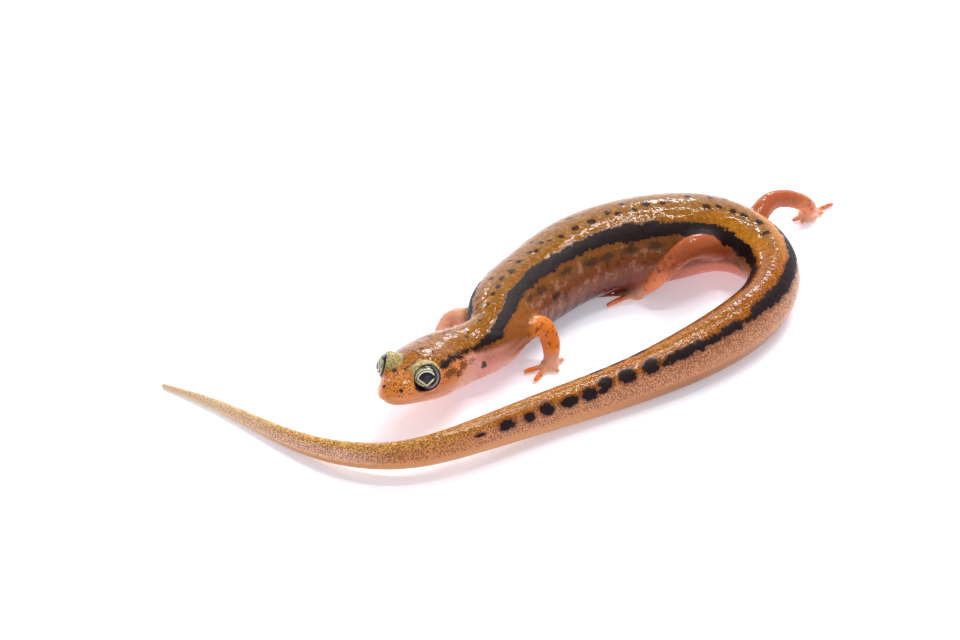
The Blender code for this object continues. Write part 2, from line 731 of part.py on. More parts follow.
def build():
    """Make every node of the animal."""
    clear_scene()
    nodes = [make_head()]
    for eye in EYES:
        nodes.append(make_eye(*eye))
    nodes.append(make_neck())
    for name, start, end in TRUNK_LENGTHS:
        nodes.append(body_length(name, start, end, TRUNK_SIDES, TRUNK_RING_STEP))
    for name, start, end in TAIL_LENGTHS:
        nodes.append(body_length(name, start, end, TAIL_SIDES, TAIL_RING_STEP))
    nodes.append(tail_end("tail_tip", PART_TAIL_REAR))
    for label, arm, hand in (("left", ARM_LEFT, HAND_LEFT), ("right", ARM_RIGHT, HAND_RIGHT)):
        nodes += make_limb("arm_" + label + "_upper", "arm_" + label + "_lower", "hand_" + label, arm, hand)
    for label, leg, foot in (("left", LEG_LEFT, FOOT_LEFT), ("right", LEG_RIGHT, FOOT_RIGHT)):
        nodes += make_limb("leg_" + label + "_thigh", "leg_" + label + "_shank", "foot_" + label, leg, foot)
    for node in nodes:
        kind = node.name.split("_")[0]
        roughness = EYE_ROUGHNESS if kind == "eye" else SKIN_ROUGHNESS
        node.data.materials.clear()
        node.data.materials.append(material("skin_" + node.name, COLOURS[kind], roughness))
    return nodes


build()
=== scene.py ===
# %% [markdown]
# # A blue ridge two-lined salamander
# This lesson dresses a small wet salamander, 109 mm long from the snout to the tip of the tail.
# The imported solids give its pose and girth. Here one skin without seams takes their place,
# with two round eyes, a wet gloss, and markings that a material works out.
# The animal is still, so nothing moves and there is only the pose at rest.

import json
import math

import bmesh
import bpy
import mathutils
import numpy as np
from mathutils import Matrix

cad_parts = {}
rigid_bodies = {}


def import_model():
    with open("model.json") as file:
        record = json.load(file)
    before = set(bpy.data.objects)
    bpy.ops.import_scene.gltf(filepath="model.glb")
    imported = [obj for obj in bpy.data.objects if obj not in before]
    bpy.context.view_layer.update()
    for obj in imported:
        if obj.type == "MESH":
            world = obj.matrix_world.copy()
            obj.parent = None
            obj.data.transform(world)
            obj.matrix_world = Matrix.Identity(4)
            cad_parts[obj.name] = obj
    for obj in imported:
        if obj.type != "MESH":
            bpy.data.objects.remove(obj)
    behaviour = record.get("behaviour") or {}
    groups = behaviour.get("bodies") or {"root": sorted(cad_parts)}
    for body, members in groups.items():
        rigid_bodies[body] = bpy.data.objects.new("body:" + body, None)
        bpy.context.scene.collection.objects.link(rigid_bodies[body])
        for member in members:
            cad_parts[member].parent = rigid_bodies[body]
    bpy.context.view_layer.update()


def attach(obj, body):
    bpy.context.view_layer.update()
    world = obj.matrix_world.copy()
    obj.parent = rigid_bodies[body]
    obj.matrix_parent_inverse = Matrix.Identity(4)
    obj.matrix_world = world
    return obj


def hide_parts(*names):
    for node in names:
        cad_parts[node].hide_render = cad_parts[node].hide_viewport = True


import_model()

# %% [markdown]
# ## Sizes
# All shapes are worked out in millimetres, because the animal is small and round numbers
# are easier to read, and scaled to metres at the very end. The tables use their own origin,
# and the middle of the finished outline is taken off at the end too.

# %% Units and small helpers
MM = 0.001
TABLE_MIDDLE = np.array([2.25, -2.45, 0.0])


def unit(vectors):
    """Each vector divided by its own length."""
    return vectors / np.maximum(np.linalg.norm(vectors, axis=-1, keepdims=True), 1e-12)


def spline(knots, values):
    """Natural cubic spline: piecewise cubics that share slope and bend at each knot."""
    knots = np.asarray(knots, float)
    values = np.asarray(values, float)
    gaps = np.diff(knots)
    count = len(knots)
    matrix = np.eye(count)
    right = np.zeros_like(values)
    for row in range(1, count - 1):
        matrix[row, row - 1] = gaps[row - 1]
        matrix[row, row] = 2.0 * (gaps[row - 1] + gaps[row])
        matrix[row, row + 1] = gaps[row]
        right[row] = 6.0 * ((values[row + 1] - values[row]) / gaps[row]
                            - (values[row] - values[row - 1]) / gaps[row - 1])
    bend = np.linalg.solve(matrix, right)

    def evaluate(at):
        """Values of the spline at the given places."""
        at = np.atleast_1d(np.asarray(at, float))
        cell = np.clip(np.searchsorted(knots, at) - 1, 0, count - 2)
        gap = gaps[cell][:, None]
        before = (knots[cell + 1] - at)[:, None]
        after = (at - knots[cell])[:, None]
        curve = (bend[cell] * before ** 3 + bend[cell + 1] * after ** 3) / (6.0 * gap)
        line = ((values[cell] / gap - bend[cell] * gap / 6.0) * before
                + (values[cell + 1] / gap - bend[cell + 1] * gap / 6.0) * after)
        return curve + line

    return evaluate


def bell(distance, width):
    """A smooth bump: one at distance zero, fading as the exponential of minus the square."""
    return np.exp(-(distance / width) ** 2)


def rise(value, low, high):
    """Smooth step: zero below the low limit, one above the high limit, 3t^2 - 2t^3 between."""
    t = np.clip((value - low) / (high - low), 0.0, 1.0)
    return t * t * (3.0 - 2.0 * t)


print("smooth step at a quarter, half and three quarters:", rise(np.array([0.25, 0.5, 0.75]), 0.0, 1.0))

# %% [markdown]
# ## The route of trunk and tail
# Trunk and tail are one long soft body that bends in every direction. They could be sculpted, or
# bent by an armature, but a path with a changing girth is easier to read and to correct. The
# table gives the centre of the body, its half width, and how far it rises above and drops below
# the centre. A spline through the rows makes every quantity smooth, and distances run from the
# back of the head to the tip of the tail.

# %% Route table
# Each row: name, centre x, y, z, half width, rise, drop
STATIONS = (
    ("occiput", -2.60, -10.8, 3.25, 2.30, 1.60, 2.20),
    ("nape", -1.70, -9.45, 3.20, 2.35, 1.70, 2.50),
    ("neck", 0.95, -7.35, 3.38, 2.45, 2.15, 2.45),
    ("shoulder", 2.0, -3.9, 3.42, 3.05, 2.70, 2.90),
    ("chest", 4.4, 0.1, 3.35, 3.35, 3.10, 3.38),
    ("front_trunk", 7.5, 3.5, 3.45, 3.58, 3.40, 3.55),
    ("mid_trunk", 11.6, 5.75, 3.55, 3.65, 3.64, 3.68),
    ("rear_trunk", 15.7, 6.85, 3.58, 3.62, 3.62, 3.58),
    ("pelvis", 19.8, 7.5, 3.25, 3.05, 3.12, 2.98),
    ("vent", 22.5, 6.3, 2.85, 2.50, 2.65, 2.75),
    ("tail_root", 23.8, 3.5, 2.60, 2.25, 2.50, 2.65),
    ("tail_bend", 23.4, -0.1, 2.45, 2.15, 2.45, 2.55),
    ("tail_upper", 20.9, -4.1, 2.35, 2.20, 2.45, 2.45),
    ("tail_fore", 17.1, -7.7, 2.22, 2.05, 2.30, 2.30),
    ("tail_mid", 11.5, -11.5, 1.95, 1.65, 1.95, 2.00),
    ("tail_lift", 5.5, -15.1, 2.00, 1.40, 1.70, 1.75),
    ("tail_arch", 0.0, -18.7, 2.30, 1.15, 1.45, 1.50),
    ("tail_dip", -5.8, -21.0, 2.10, 0.95, 1.20, 1.20),
    ("tail_rear", -11.0, -19.8, 1.42, 0.80, 1.02, 1.02),
    ("tail_thin", -16.2, -16.1, 0.72, 0.60, 0.74, 0.74),
    ("tail_slim", -21.6, -11.7, 0.42, 0.38, 0.44, 0.44),
    ("tail_tip", -25.0, -9.5, 0.24, 0.18, 0.20, 0.26),
)


def path_length(points):
    """Distance along a row of points, zero at the first."""
    return np.concatenate(([0.0], np.cumsum(np.linalg.norm(np.diff(points, axis=0), axis=1))))


rows = np.array([row[1:] for row in STATIONS])
knots = path_length(rows[:, :3])
dense = np.linspace(0.0, knots[-1], 4001)
route_table = spline(knots, rows)(dense)
route_length = path_length(route_table[:, :3])
route_station = np.interp(dense, knots, np.arange(len(STATIONS)))
print("route from the back of the head to the tail tip:", round(float(route_length[-1]), 1), "mm")

# %% [markdown]
# ## Rings of skin round the route
# Cut across, the living animal is nearly an oval, a little flatter below. A curve with a bevel
# would give only circles, so the rings are worked out here as whole arrays from one formula.
# The same formula presses in the costal grooves, the folds on the flanks that mark the ribs,
# and flattens what would sink below the floor, as soft skin does.

# %% Rings of trunk and tail
GROOVE_COUNT, GROOVE_DEPTH = 14, 0.08
GROOVE_START, GROOVE_END = 3.3, 8.0
SLOPE_STEP = 0.05


def between(at, known, table):
    """Linear interpolation in every column of a table at once."""
    return np.stack([np.interp(at, known, column) for column in table.T], axis=1)


def at_station(number):
    """Distance along the route at a station number."""
    return float(np.interp(number, route_station, route_length))


def route_rows(lengths):
    """Centre, left and up directions, and girth at distances along the route."""
    found = between(lengths, route_length, route_table)
    ahead = between(lengths - SLOPE_STEP, route_length, route_table[:, :3])
    behind = between(lengths + SLOPE_STEP, route_length, route_table[:, :3])
    forward = unit(ahead - behind)
    left = unit(np.cross(np.array([0.0, 0.0, 1.0]), forward))
    return found[:, :3], left, np.cross(forward, left), found[:, 3:]


def grooves(lengths, angles):
    """Costal grooves: squared cosine dips at even distances, faded by the fourth power of the cosine."""
    start, end = at_station(GROOVE_START), at_station(GROOVE_END)
    turn = (lengths - start) / (end - start) * GROOVE_COUNT
    dip = (0.5 + 0.5 * np.cos(2.0 * np.pi * turn)) ** 2
    inside = (lengths > start - 0.2) & (lengths < end + 0.2)
    flank = np.abs(np.cos(angles)) ** 4
    return GROOVE_DEPTH * (dip * inside)[:, None] * flank


def body_rings(lengths, angles):
    """Ring points: centre + width cos(a) left + height sin(a) up, pressed flat at the floor."""
    centre, left, up, girth = route_rows(lengths)
    tall = np.where(np.sin(angles) > 0.0, girth[:, 1:2], girth[:, 2:3])
    inset = grooves(lengths, angles)
    wide = (girth[:, 0:1] - inset) * np.cos(angles)
    high = (tall - inset) * np.sin(angles)
    points = centre[:, None, :] + wide[:, :, None] * left[:, None, :] + high[:, :, None] * up[:, None, :]
    points[:, :, 2] = np.maximum(points[:, :, 2], 0.0)
    return points


print("grooves lie from", round(at_station(GROOVE_START), 1), "to", round(at_station(GROOVE_END), 1), "mm")

# %% [markdown]
# ## The head
# A salamander's head is a blunt flat wedge with swollen lips and a throat that bulges. It could
# be carved out of a ball, but rings with formulas keep every size in sight. The head has its own
# axes: ahead to the snout, left, and up from the line of the mouth. A spline through eight
# rows gives its girth, and one power makes the rings shrink to a round snout.

# %% Head sizes and axes
HEAD_ORIGIN = np.array([-2.26, -8.63, 2.89])
HEAD_YAW, HEAD_PITCH, HEAD_ROLL = math.radians(241.0), math.radians(9.0), math.radians(4.0)
HEAD_LENGTH = 10.2
HEAD_LEAN, HEAD_LEAN_LENGTH = 0.75, 4.0
SNOUT_ROUND = 2.3
MOUTH_CORNER, MOUTH_DEPTH = 4.7, 0.17
MOUTH_SLANT, MOUTH_FADE = math.radians(17.0), 1.2
LIP_SWELL, LIP_OVERHANG = 0.06, 0.22
# Each row: distance ahead, half width, height above and depth below the mouth
HEAD_GIRTH = np.array((
    (0.0, 2.40, 2.25, 2.50),
    (0.9, 2.60, 2.38, 2.45),
    (2.1, 2.80, 2.42, 2.35),
    (3.8, 2.98, 2.42, 2.00),
    (5.4, 2.82, 2.45, 1.78),
    (7.0, 2.40, 2.18, 1.42),
    (8.6, 2.02, 1.70, 1.04),
    (10.2, 1.62, 1.34, 0.76),
))
head_girth = spline(HEAD_GIRTH[:, 0], HEAD_GIRTH[:, 1:])
head_forward = np.array([math.cos(HEAD_YAW) * math.cos(HEAD_PITCH),
                         math.sin(HEAD_YAW) * math.cos(HEAD_PITCH), math.sin(HEAD_PITCH)])
level = np.array([-math.sin(HEAD_YAW), math.cos(HEAD_YAW), 0.0])
head_left = math.cos(HEAD_ROLL) * level + math.sin(HEAD_ROLL) * np.cross(head_forward, level)
head_up = np.cross(head_forward, head_left)
HEAD_AXES = np.stack((head_forward, head_left, head_up))
print("head axes:", np.round(HEAD_AXES, 2).tolist())

# %% [markdown]
# ## Lips, cheeks and throat
# The mouth is closed, so it shows as a thin line between two soft lips, the upper lying over the
# lower. A cut with a Boolean would leave it sharp and too deep. Here the line is a narrow dip in
# the rings, each lip a low swelling beside it, and cheek, crown and throat are soft bells.

# %% Head rings


def head_world(points):
    """Head coordinates (ahead, left, up) placed in the table's axes."""
    return HEAD_ORIGIN + np.asarray(points, float) @ HEAD_AXES


def head_lean(ahead):
    """Sideways shift of the back of the head towards the neck, a fading square."""
    return HEAD_LEAN * np.clip(1.0 - ahead / HEAD_LEAN_LENGTH, 0.0, 1.0) ** 2


def head_rings(ahead, angles):
    """Ring points in head axes: an oval whose size falls to nothing at the snout, with lips and cheeks."""
    taper = (1.0 - np.clip(ahead / HEAD_LENGTH, 0.0, 1.0) ** (3.0 * SNOUT_ROUND)) ** (1.0 / SNOUT_ROUND)
    sizes = head_girth(ahead) * taper[:, None]
    wide = sizes[:, 0:1] * np.cos(angles)
    tall = np.where(np.sin(angles) >= 0.0, sizes[:, 1:2], sizes[:, 2:3]) * np.sin(angles)
    far = ahead[:, None] * np.ones_like(wide)
    points = np.stack((far, wide + head_lean(ahead)[:, None], tall), axis=-1)
    mouth = np.clip((far - MOUTH_CORNER) / MOUTH_FADE, 0.0, 1.0)
    over = tall + sizes[:, 2:3] * math.sin(MOUTH_SLANT)
    dip = MOUTH_DEPTH * bell(over, 0.06)
    swell = LIP_SWELL * bell(np.abs(over) - 0.30, 0.16)
    overhang = LIP_OVERHANG * np.where(over < -0.02, bell(over, 0.9), 0.0)
    cheek = 0.10 * bell(far - 3.6, 1.3) * bell(tall - 0.5, 0.9)
    crown = -0.07 * bell(far - 6.6, 1.2) * bell(wide, 0.55) * (tall > 0.0)
    groove = -0.05 * bell(far - 9.2, 0.10) * bell(tall - 0.45, 0.28)
    throat = -0.10 * bell(far - 1.1 - 0.2 * tall, 0.22) * np.clip(-tall / 1.2, 0.0, 1.0)
    move = mouth * (swell - dip - overhang) + cheek + crown + groove + throat
    raised = np.where(np.abs(tall) > 0.4, 0.6 * tall, 0.0)
    outwards = unit(np.stack((np.clip(far - 7.2, 0.0, None) * 0.9, wide, raised), axis=-1) + 1e-9)
    return points + move[:, :, None] * outwards


print("girth 5.4 mm ahead:", np.round(head_girth(5.4)[0], 2), "mm wide, above and below the mouth")

# %% [markdown]
# ## Angles round a ring
# Head, trunk and tail are one grid, so every ring needs the same number of points. Fine lips
# need many points at the mouth, and a tail doesn't. Adding points everywhere would waste them,
# so the angles crowd at the lips on the head and lie at even steps on the body.

# %% Ring angles
AROUND = 112
LIP_CROWDING = 1.3
quarter = AROUND // 4


def full_turn(start, crowding):
    """A whole turn of angles, crowded by a power at a start angle on both sides."""
    share = (np.arange(quarter) / quarter) ** crowding
    upper = start + (0.5 * np.pi - start) * share
    lower = start - (0.5 * np.pi + start) * share
    left_up = np.concatenate((upper, [0.5 * np.pi], np.pi - upper[::-1]))
    return np.concatenate((left_up, np.pi - lower[1:], [1.5 * np.pi], 2.0 * np.pi + lower[:0:-1]))


even_angles = full_turn(0.0, 1.0)
lip_angles = full_turn(-MOUTH_SLANT, LIP_CROWDING)
print("finest step at the lips:", round(float(np.degrees(np.abs(np.diff(lip_angles)).min())), 2), "degrees")

# %% [markdown]
# ## Rings of the head
# The snout is round, so rings at even distances would leave its front coarse. Measuring along
# the outline instead makes them crowd where the outline turns.

# %% Rings of the head
JOIN_AHEAD = 1.0
HEAD_RINGS = 104
fine = 1.0 - np.linspace(1.0, 0.0, 4000) ** 4
outline_radius = 1.6 * (1.0 - fine ** (3.0 * SNOUT_ROUND)) ** (1.0 / SNOUT_ROUND)
outline = np.concatenate(([0.0], np.cumsum(np.hypot(np.diff(fine) * HEAD_LENGTH, np.diff(outline_radius)))))
first = float(np.interp(JOIN_AHEAD / HEAD_LENGTH, fine, outline))
ring_ahead = HEAD_LENGTH * np.interp(np.linspace(outline[-1] - 0.05, first, HEAD_RINGS), outline, fine)

head_part = head_world(head_rings(ring_ahead, np.tile(lip_angles, (HEAD_RINGS, 1))))
print("head rings from", round(float(ring_ahead[0]), 2), "to", round(float(ring_ahead[-1]), 2), "mm ahead")

# %% [markdown]
# ## The neck as a bridge
# On the animal nothing marks where the head ends. Two parts pushed into each other would leave
# a crease, so every point of the head's last ring goes to its partner on the body along a
# Hermite curve. It leaves in the head's direction and arrives in the body's direction.

# %% Body rings and the bridge
JOIN_LENGTH = 4.4
NECK_RINGS = 26
BODY_STEP = 0.30
FADE_RINGS = 12
NUDGE = 0.1
TIP_ROUNDING = 0.30


def hermite(t, first, last, first_slope, last_slope):
    """Hermite curve from the first place to the last, with the slopes given at both."""
    return ((2 * t ** 3 - 3 * t ** 2 + 1) * first + (t ** 3 - 2 * t ** 2 + t) * first_slope
            + (3 * t ** 2 - 2 * t ** 3) * last + (t ** 3 - t ** 2) * last_slope)


count = int((route_length[-1] - JOIN_LENGTH) / BODY_STEP)
ring_length = np.linspace(JOIN_LENGTH, route_length[-1], count)
fade = np.clip(1.0 - np.arange(count) / FADE_RINGS, 0.0, 1.0)[:, None]
body_angles = even_angles + (lip_angles - even_angles) * fade
body_part = body_rings(ring_length, body_angles)

start_ring, end_ring = head_part[-1], body_part[0]
span = float(np.linalg.norm(end_ring.mean(axis=0) - start_ring.mean(axis=0)))
ring_before = head_world(head_rings(np.array([JOIN_AHEAD + NUDGE]), lip_angles[None]))[0]
ring_after = body_rings(np.array([JOIN_LENGTH + NUDGE]), body_angles[:1])[0]
start_slope = (start_ring - ring_before) / NUDGE * span
end_slope = (ring_after - end_ring) / NUDGE * span
steps = np.linspace(0.0, 1.0, NECK_RINGS + 2)[1:-1, None, None]
neck_part = hermite(steps, start_ring, end_ring, start_slope, end_slope)

tip_centre, tip_left, tip_up, _ = route_rows(ring_length[-1:])
tip_out = -np.cross(tip_left, tip_up)
caps = np.array([tip_centre + tip_out * TIP_ROUNDING * share
                 + (body_part[-1] - tip_centre) * math.sqrt(1.0 - share * share)
                 for share in (0.35, 0.62, 0.82, 0.95)])
rings = np.concatenate((head_part, neck_part, body_part, caps))
rings[:, :, 2] = np.maximum(rings[:, :, 2], 0.0)
snout_point = head_world([HEAD_LENGTH, 0.0, 0.0])
tail_point = (tip_centre + tip_out * TIP_ROUNDING)[0]
print("rings of head, neck, trunk and tail:", len(rings), "with", AROUND, "points each")

# %% [markdown]
# ## A closed mesh that remembers where it came from
# The rings become quads, and a fan of triangles closes each end at a pole. Later, limbs and
# lids are joined on, and the corners between them must be found again. Vertex groups get lost
# in a Boolean, but material slots don't, so the slot number serves as a label.

# %% Closed meshes with labels
LABELS = 8
BODY, LID, ARM_L, ARM_R, LEG_L, LEG_R, CUT = range(7)


def grid_faces(count, sides, offset):
    """Quads of a grid of rings that closes on itself; ring r, side k joins ring r + 1, side k + 1."""
    ring, side = np.meshgrid(np.arange(count - 1), np.arange(sides), indexing="ij")
    after = (side + 1) % sides
    quads = np.stack((ring * sides + side, ring * sides + after,
                      (ring + 1) * sides + after, (ring + 1) * sides + side), axis=-1)
    return (quads.reshape(-1, 4) + offset).tolist()


def fan(pole, first, sides):
    """Triangles from a pole to the ring that starts at a vertex."""
    side = np.arange(sides)
    return np.stack((np.full(sides, pole), first + side, first + (side + 1) % sides), axis=-1).tolist()


def closed_faces(count, sides, start):
    """Faces of a ring grid that begins at a vertex and whose two poles follow it."""
    total = start + count * sides
    return grid_faces(count, sides, start) + fan(total, start, sides) + fan(total + 1, total - sides, sides)


def label_faces(mesh, label):
    """Give every face the same label, kept as its material slot."""
    mesh.materials.clear()
    for _ in range(LABELS):
        mesh.materials.append(None)
    mesh.polygons.foreach_set("material_index", np.full(len(mesh.polygons), label, dtype=np.int32))


def mesh_object(name, verts, faces, label):
    """A mesh object in millimetres whose faces point outwards and carry a label."""
    mesh = bpy.data.meshes.new(name)
    mesh.from_pydata(verts.tolist(), [], faces)
    shape = bmesh.new()
    shape.from_mesh(mesh)
    bmesh.ops.recalc_face_normals(shape, faces=shape.faces)
    shape.to_mesh(mesh)
    shape.free()
    label_faces(mesh, label)
    thing = bpy.data.objects.new(name, mesh)
    bpy.context.scene.collection.objects.link(thing)
    return thing


def closed_grid(name, rings, start, end, label):
    """A closed mesh object: a grid of rings with a pole at each end."""
    verts = np.concatenate((rings.reshape(-1, 3), [start, end]))
    return mesh_object(name, verts, closed_faces(*rings.shape[:2], 0), label)


skin = closed_grid("skin", rings, snout_point, tail_point, BODY)
print("faces of the first grid:", len(skin.data.polygons))

# %% [markdown]
# ## Where the limbs are
# Each limb is thin and bent, with the elbow or knee held out to the side and a small flat hand
# or foot: four fingers in front, five toes behind. The tables give the joints with a radius
# each, the size of the palm, and where on the floor each toe ends.

# %% Limb tables
# Each joint: name, x, y, z, radius
ARM_LEFT = (("shoulder", 2.3, -7.5, 2.85, 1.10), ("elbow", 4.9, -6.0, 3.60, 0.84),
            ("wrist", 5.7, -6.5, 1.15, 0.66), ("palm", 5.55, -6.85, 0.42, 0.50))
HAND_LEFT = (0.78, ((3.45, -7.65), (4.3, -8.85), (6.35, -7.6), (6.75, -5.8)))
ARM_RIGHT = (("shoulder", 0.2, -4.6, 2.6, 1.25), ("elbow", -2.4, -3.15, 2.3, 0.66),
             ("wrist", -3.3, -4.7, 1.05, 0.56), ("palm", -3.45, -5.4, 0.42, 0.45))
HAND_RIGHT = (0.74, ((-2.05, -6.6), (-3.65, -7.5), (-5.35, -6.7), (-5.55, -4.8)))
LEG_LEFT = (("hip", 19.8, 6.3, 3.1, 1.60), ("knee", 16.5, 2.65, 4.85, 0.92),
            ("ankle", 13.75, 2.85, 1.45, 0.66), ("palm", 12.8, 3.25, 0.45, 0.52))
FOOT_LEFT = (0.82, ((10.3, 1.65), (9.5, 2.85), (10.6, 3.7), (11.8, 4.4), (13.5, 3.9)))
LEG_RIGHT = (("hip", 22.5, 9.0, 2.90, 1.00), ("knee", 24.8, 12.6, 3.50, 0.78),
             ("ankle", 27.7, 14.3, 1.30, 0.62), ("palm", 27.6, 14.85, 0.45, 0.52))
FOOT_RIGHT = (0.90, ((29.9, 16.8), (29.0, 15.4), (28.1, 14.2), (27.0, 13.8), (26.2, 14.2)))
LIMBS = (("arm_left", ARM_LEFT, HAND_LEFT, ARM_L), ("arm_right", ARM_RIGHT, HAND_RIGHT, ARM_R),
         ("leg_left", LEG_LEFT, FOOT_LEFT, LEG_L), ("leg_right", LEG_RIGHT, FOOT_RIGHT, LEG_R))
print("toes on each limb:", [len(foot[1]) for _, _, foot, _ in LIMBS])

# %% [markdown]
# ## Round tubes
# Arms, legs and toes are all round tubes with round ends. A bevelled curve would do, but tubes
# made as arrays need no conversion. Each ring is turned as little as possible against the one
# before, so a tube never twists.

# %% Tubes
LIMB_STEP = 0.12


def sweep(path, radius, sides):
    """A round tube: circles of the given radii square to a path, turned as little as possible."""
    axis = unit(np.gradient(path, axis=0))
    side = np.zeros_like(axis)
    helper = np.array([0.0, 0.0, 1.0]) if abs(axis[0, 2]) < 0.9 else np.array([1.0, 0.0, 0.0])
    side[0] = unit(np.cross(axis[0], helper))
    for k in range(1, len(path)):
        side[k] = unit(side[k - 1] - axis[k] * np.dot(side[k - 1], axis[k]))
    other = np.cross(axis, side)
    angle = 2.0 * np.pi * np.arange(sides) / sides
    spokes = np.cos(angle)[None, :, None] * side[:, None, :] + np.sin(angle)[None, :, None] * other[:, None, :]
    return path[:, None, :] + radius[:, None, None] * spokes


def capped(path, radius, sides):
    """A swept tube whose two ends are rounded off by shrinking circles."""
    bows = np.sin(np.linspace(0.15, 0.5 * np.pi, 5))
    axis = unit(np.gradient(path, axis=0))
    head = np.array([path[0] - axis[0] * radius[0] * c for c in np.sqrt(1.0 - bows[:-1] ** 2)])
    tail = np.array([path[-1] + axis[-1] * radius[-1] * c for c in np.sqrt(1.0 - bows[:-1][::-1] ** 2)])
    full_path = np.concatenate((head, path, tail))
    full_radius = np.concatenate((radius[0] * bows[:-1], radius, radius[-1] * bows[:-1][::-1]))
    tube = sweep(full_path, full_radius, sides)
    return tube, path[0] - axis[0] * radius[0], path[-1] + axis[-1] * radius[-1]


def limb_path(joints):
    """Centre and radius along a limb: a spline through its joints, at even steps."""
    table = np.array([joint[1:] for joint in joints])
    reach = path_length(table[:, :3])
    at = np.linspace(0.0, reach[-1], int(reach[-1] / LIMB_STEP))
    found = spline(reach, table)(at)
    return found[:, :3], found[:, 3]


print("rings along the left arm:", len(limb_path(ARM_LEFT)[0]))

# %% [markdown]
# ## Melting tubes into flesh
# A hand is a palm with fingers growing out of it, all one soft surface. Many small overlapping
# tubes make poor partners for a Boolean. So each limb is first melted into one closed mesh by
# a voxel remesh, and then relaxed, which takes off the little steps of the voxels.

# %% Melting and relaxing
VOXEL = 0.085
MELT_ROUNDS = 6
RELAX_SHARE = 0.6


def places(mesh):
    """All vertex places as rows."""
    flat = np.empty(3 * len(mesh.vertices))
    mesh.vertices.foreach_get("co", flat)
    return flat.reshape(-1, 3)


def mesh_edges(mesh):
    """All edges as rows of two vertex numbers."""
    flat = np.empty(2 * len(mesh.edges), dtype=np.int32)
    mesh.edges.foreach_get("vertices", flat)
    return flat.reshape(-1, 2)


def neighbour_mean(values, edges, degree):
    """For each vertex, the mean of its neighbours' values."""
    total = np.stack([np.bincount(edges[:, 0], values[edges[:, 1], k], len(values))
                      + np.bincount(edges[:, 1], values[edges[:, 0], k], len(values))
                      for k in range(values.shape[1])], axis=1)
    return total / degree[:, None]


def relax(mesh, weight, rounds):
    """Move each vertex towards the mean of its neighbours, as far as its weight says."""
    points = places(mesh)
    edges = mesh_edges(mesh)
    degree = np.maximum(np.bincount(edges.ravel(), minlength=len(points)), 1)
    for _ in range(rounds):
        mean = neighbour_mean(points, edges, degree)
        points += RELAX_SHARE * weight[:, None] * (mean - points)
    points[:, 2] = np.maximum(points[:, 2], 0.0)
    mesh.vertices.foreach_set("co", points.ravel())
    mesh.update()


def evaluated(thing):
    """Replace an object's mesh by the result of its modifiers."""
    bpy.context.view_layer.update()
    mesh = bpy.data.meshes.new_from_object(thing.evaluated_get(bpy.context.evaluated_depsgraph_get()))
    thing.modifiers.clear()
    thing.data = mesh
    return mesh


def melt(name, pieces, label):
    """Join closed tubes by a voxel remesh, then relax the surface a little."""
    verts, faces, start = [], [], 0
    for rings, low, high in pieces:
        verts.append(np.concatenate((rings.reshape(-1, 3), [low, high])))
        faces += closed_faces(*rings.shape[:2], start)
        start += len(verts[-1])
    thing = mesh_object(name, np.concatenate(verts), faces, label)
    modifier = thing.modifiers.new("melt", "REMESH")
    modifier.mode = "VOXEL"
    modifier.voxel_size = VOXEL
    mesh = evaluated(thing)
    relax(mesh, np.ones(len(mesh.vertices)), MELT_ROUNDS)
    label_faces(mesh, label)
    return thing


print("voxels of the limbs:", VOXEL, "mm, about a tenth of a toe's length")

# %% [markdown]
# ## Hands and feet
# The palm is a ball pressed to six tenths of its height. Every toe starts inside it and ends as
# a tube with a round tip that touches the floor, a little arched in between.

# %% Making the limbs
PALM_FLATNESS = 0.62
TOE_HEIGHT, TOE_ARCH = 0.26, 0.10
TOE_RADII = (0.30, 0.25, 0.23, 0.235, 0.20)


def make_limb(name, joints, foot, label):
    """Tube, palm and toes of one limb, melted into one closed mesh."""
    path, radius = limb_path(joints)
    pieces = [capped(path, radius, 24)]
    size, toes = foot
    centre = np.array(joints[-1][1:4])
    polar = np.linspace(0.0, np.pi, 15)[1:-1]
    ball = np.stack((np.zeros(13), np.zeros(13), np.cos(polar) * size * PALM_FLATNESS), axis=1) + centre
    angle = 2.0 * np.pi * np.arange(28) / 28
    spread = np.stack((np.cos(angle), np.sin(angle), np.zeros(28)), axis=1)
    palm = ball[:, None, :] + size * np.sin(polar)[:, None, None] * spread[None]
    pole = np.array([0.0, 0.0, size * PALM_FLATNESS])
    pieces.append((palm, centre + pole, centre - pole))
    for x, y in toes:
        tip = np.array([x, y, TOE_HEIGHT])
        root = np.array([centre[0], centre[1], TOE_HEIGHT + 0.06])
        along = np.linspace(0.0, 1.0, 18)[:, None]
        end = tip - unit(tip - root) * TOE_RADII[-1]
        line = root + (end - root) * along
        line[:, 2] += TOE_ARCH * np.sin(np.pi * along[:, 0])
        radii = np.interp(along[:, 0], np.linspace(0.0, 1.0, len(TOE_RADII)), TOE_RADII)
        pieces.append(capped(line, radii, 14))
    return melt(name, pieces, label)


limbs = [make_limb(*limb) for limb in LIMBS]
print("limb vertices:", [len(limb.data.vertices) for limb in limbs])

# %% [markdown]
# ## Eye sockets, lids and nostrils
# The eyes bulge, and each sits in thick lids with a round rim. Pushing rings apart for them
# would stretch the skin. Instead each eye gets a ball of skin for its lids, opened by a turned
# cutter that has the eyeball's shape inside and flares outwards. Nostrils are tiny balls.

# %% Lids, sockets and nostrils
EYE_AHEAD, EYE_ASIDE, EYE_ABOVE = 7.0, 1.60, 1.30
EYE_RADIUS = 1.10
# Each eye: word, side, turn outwards and lift of its lids, turn and lift of its gaze, in degrees
EYES = (("left", 1.0, 42.0, 12.0, 26.0, 33.0), ("right", -1.0, 58.0, 14.0, 56.0, 26.0))
LID_INNER, LID_OUTER, LID_OPENING = 1.11, 1.25, 0.95
NOSTRIL_AHEAD, NOSTRIL_ASIDE, NOSTRIL_ABOVE, NOSTRIL_RADIUS = 9.45, 0.78, 0.86, 0.15


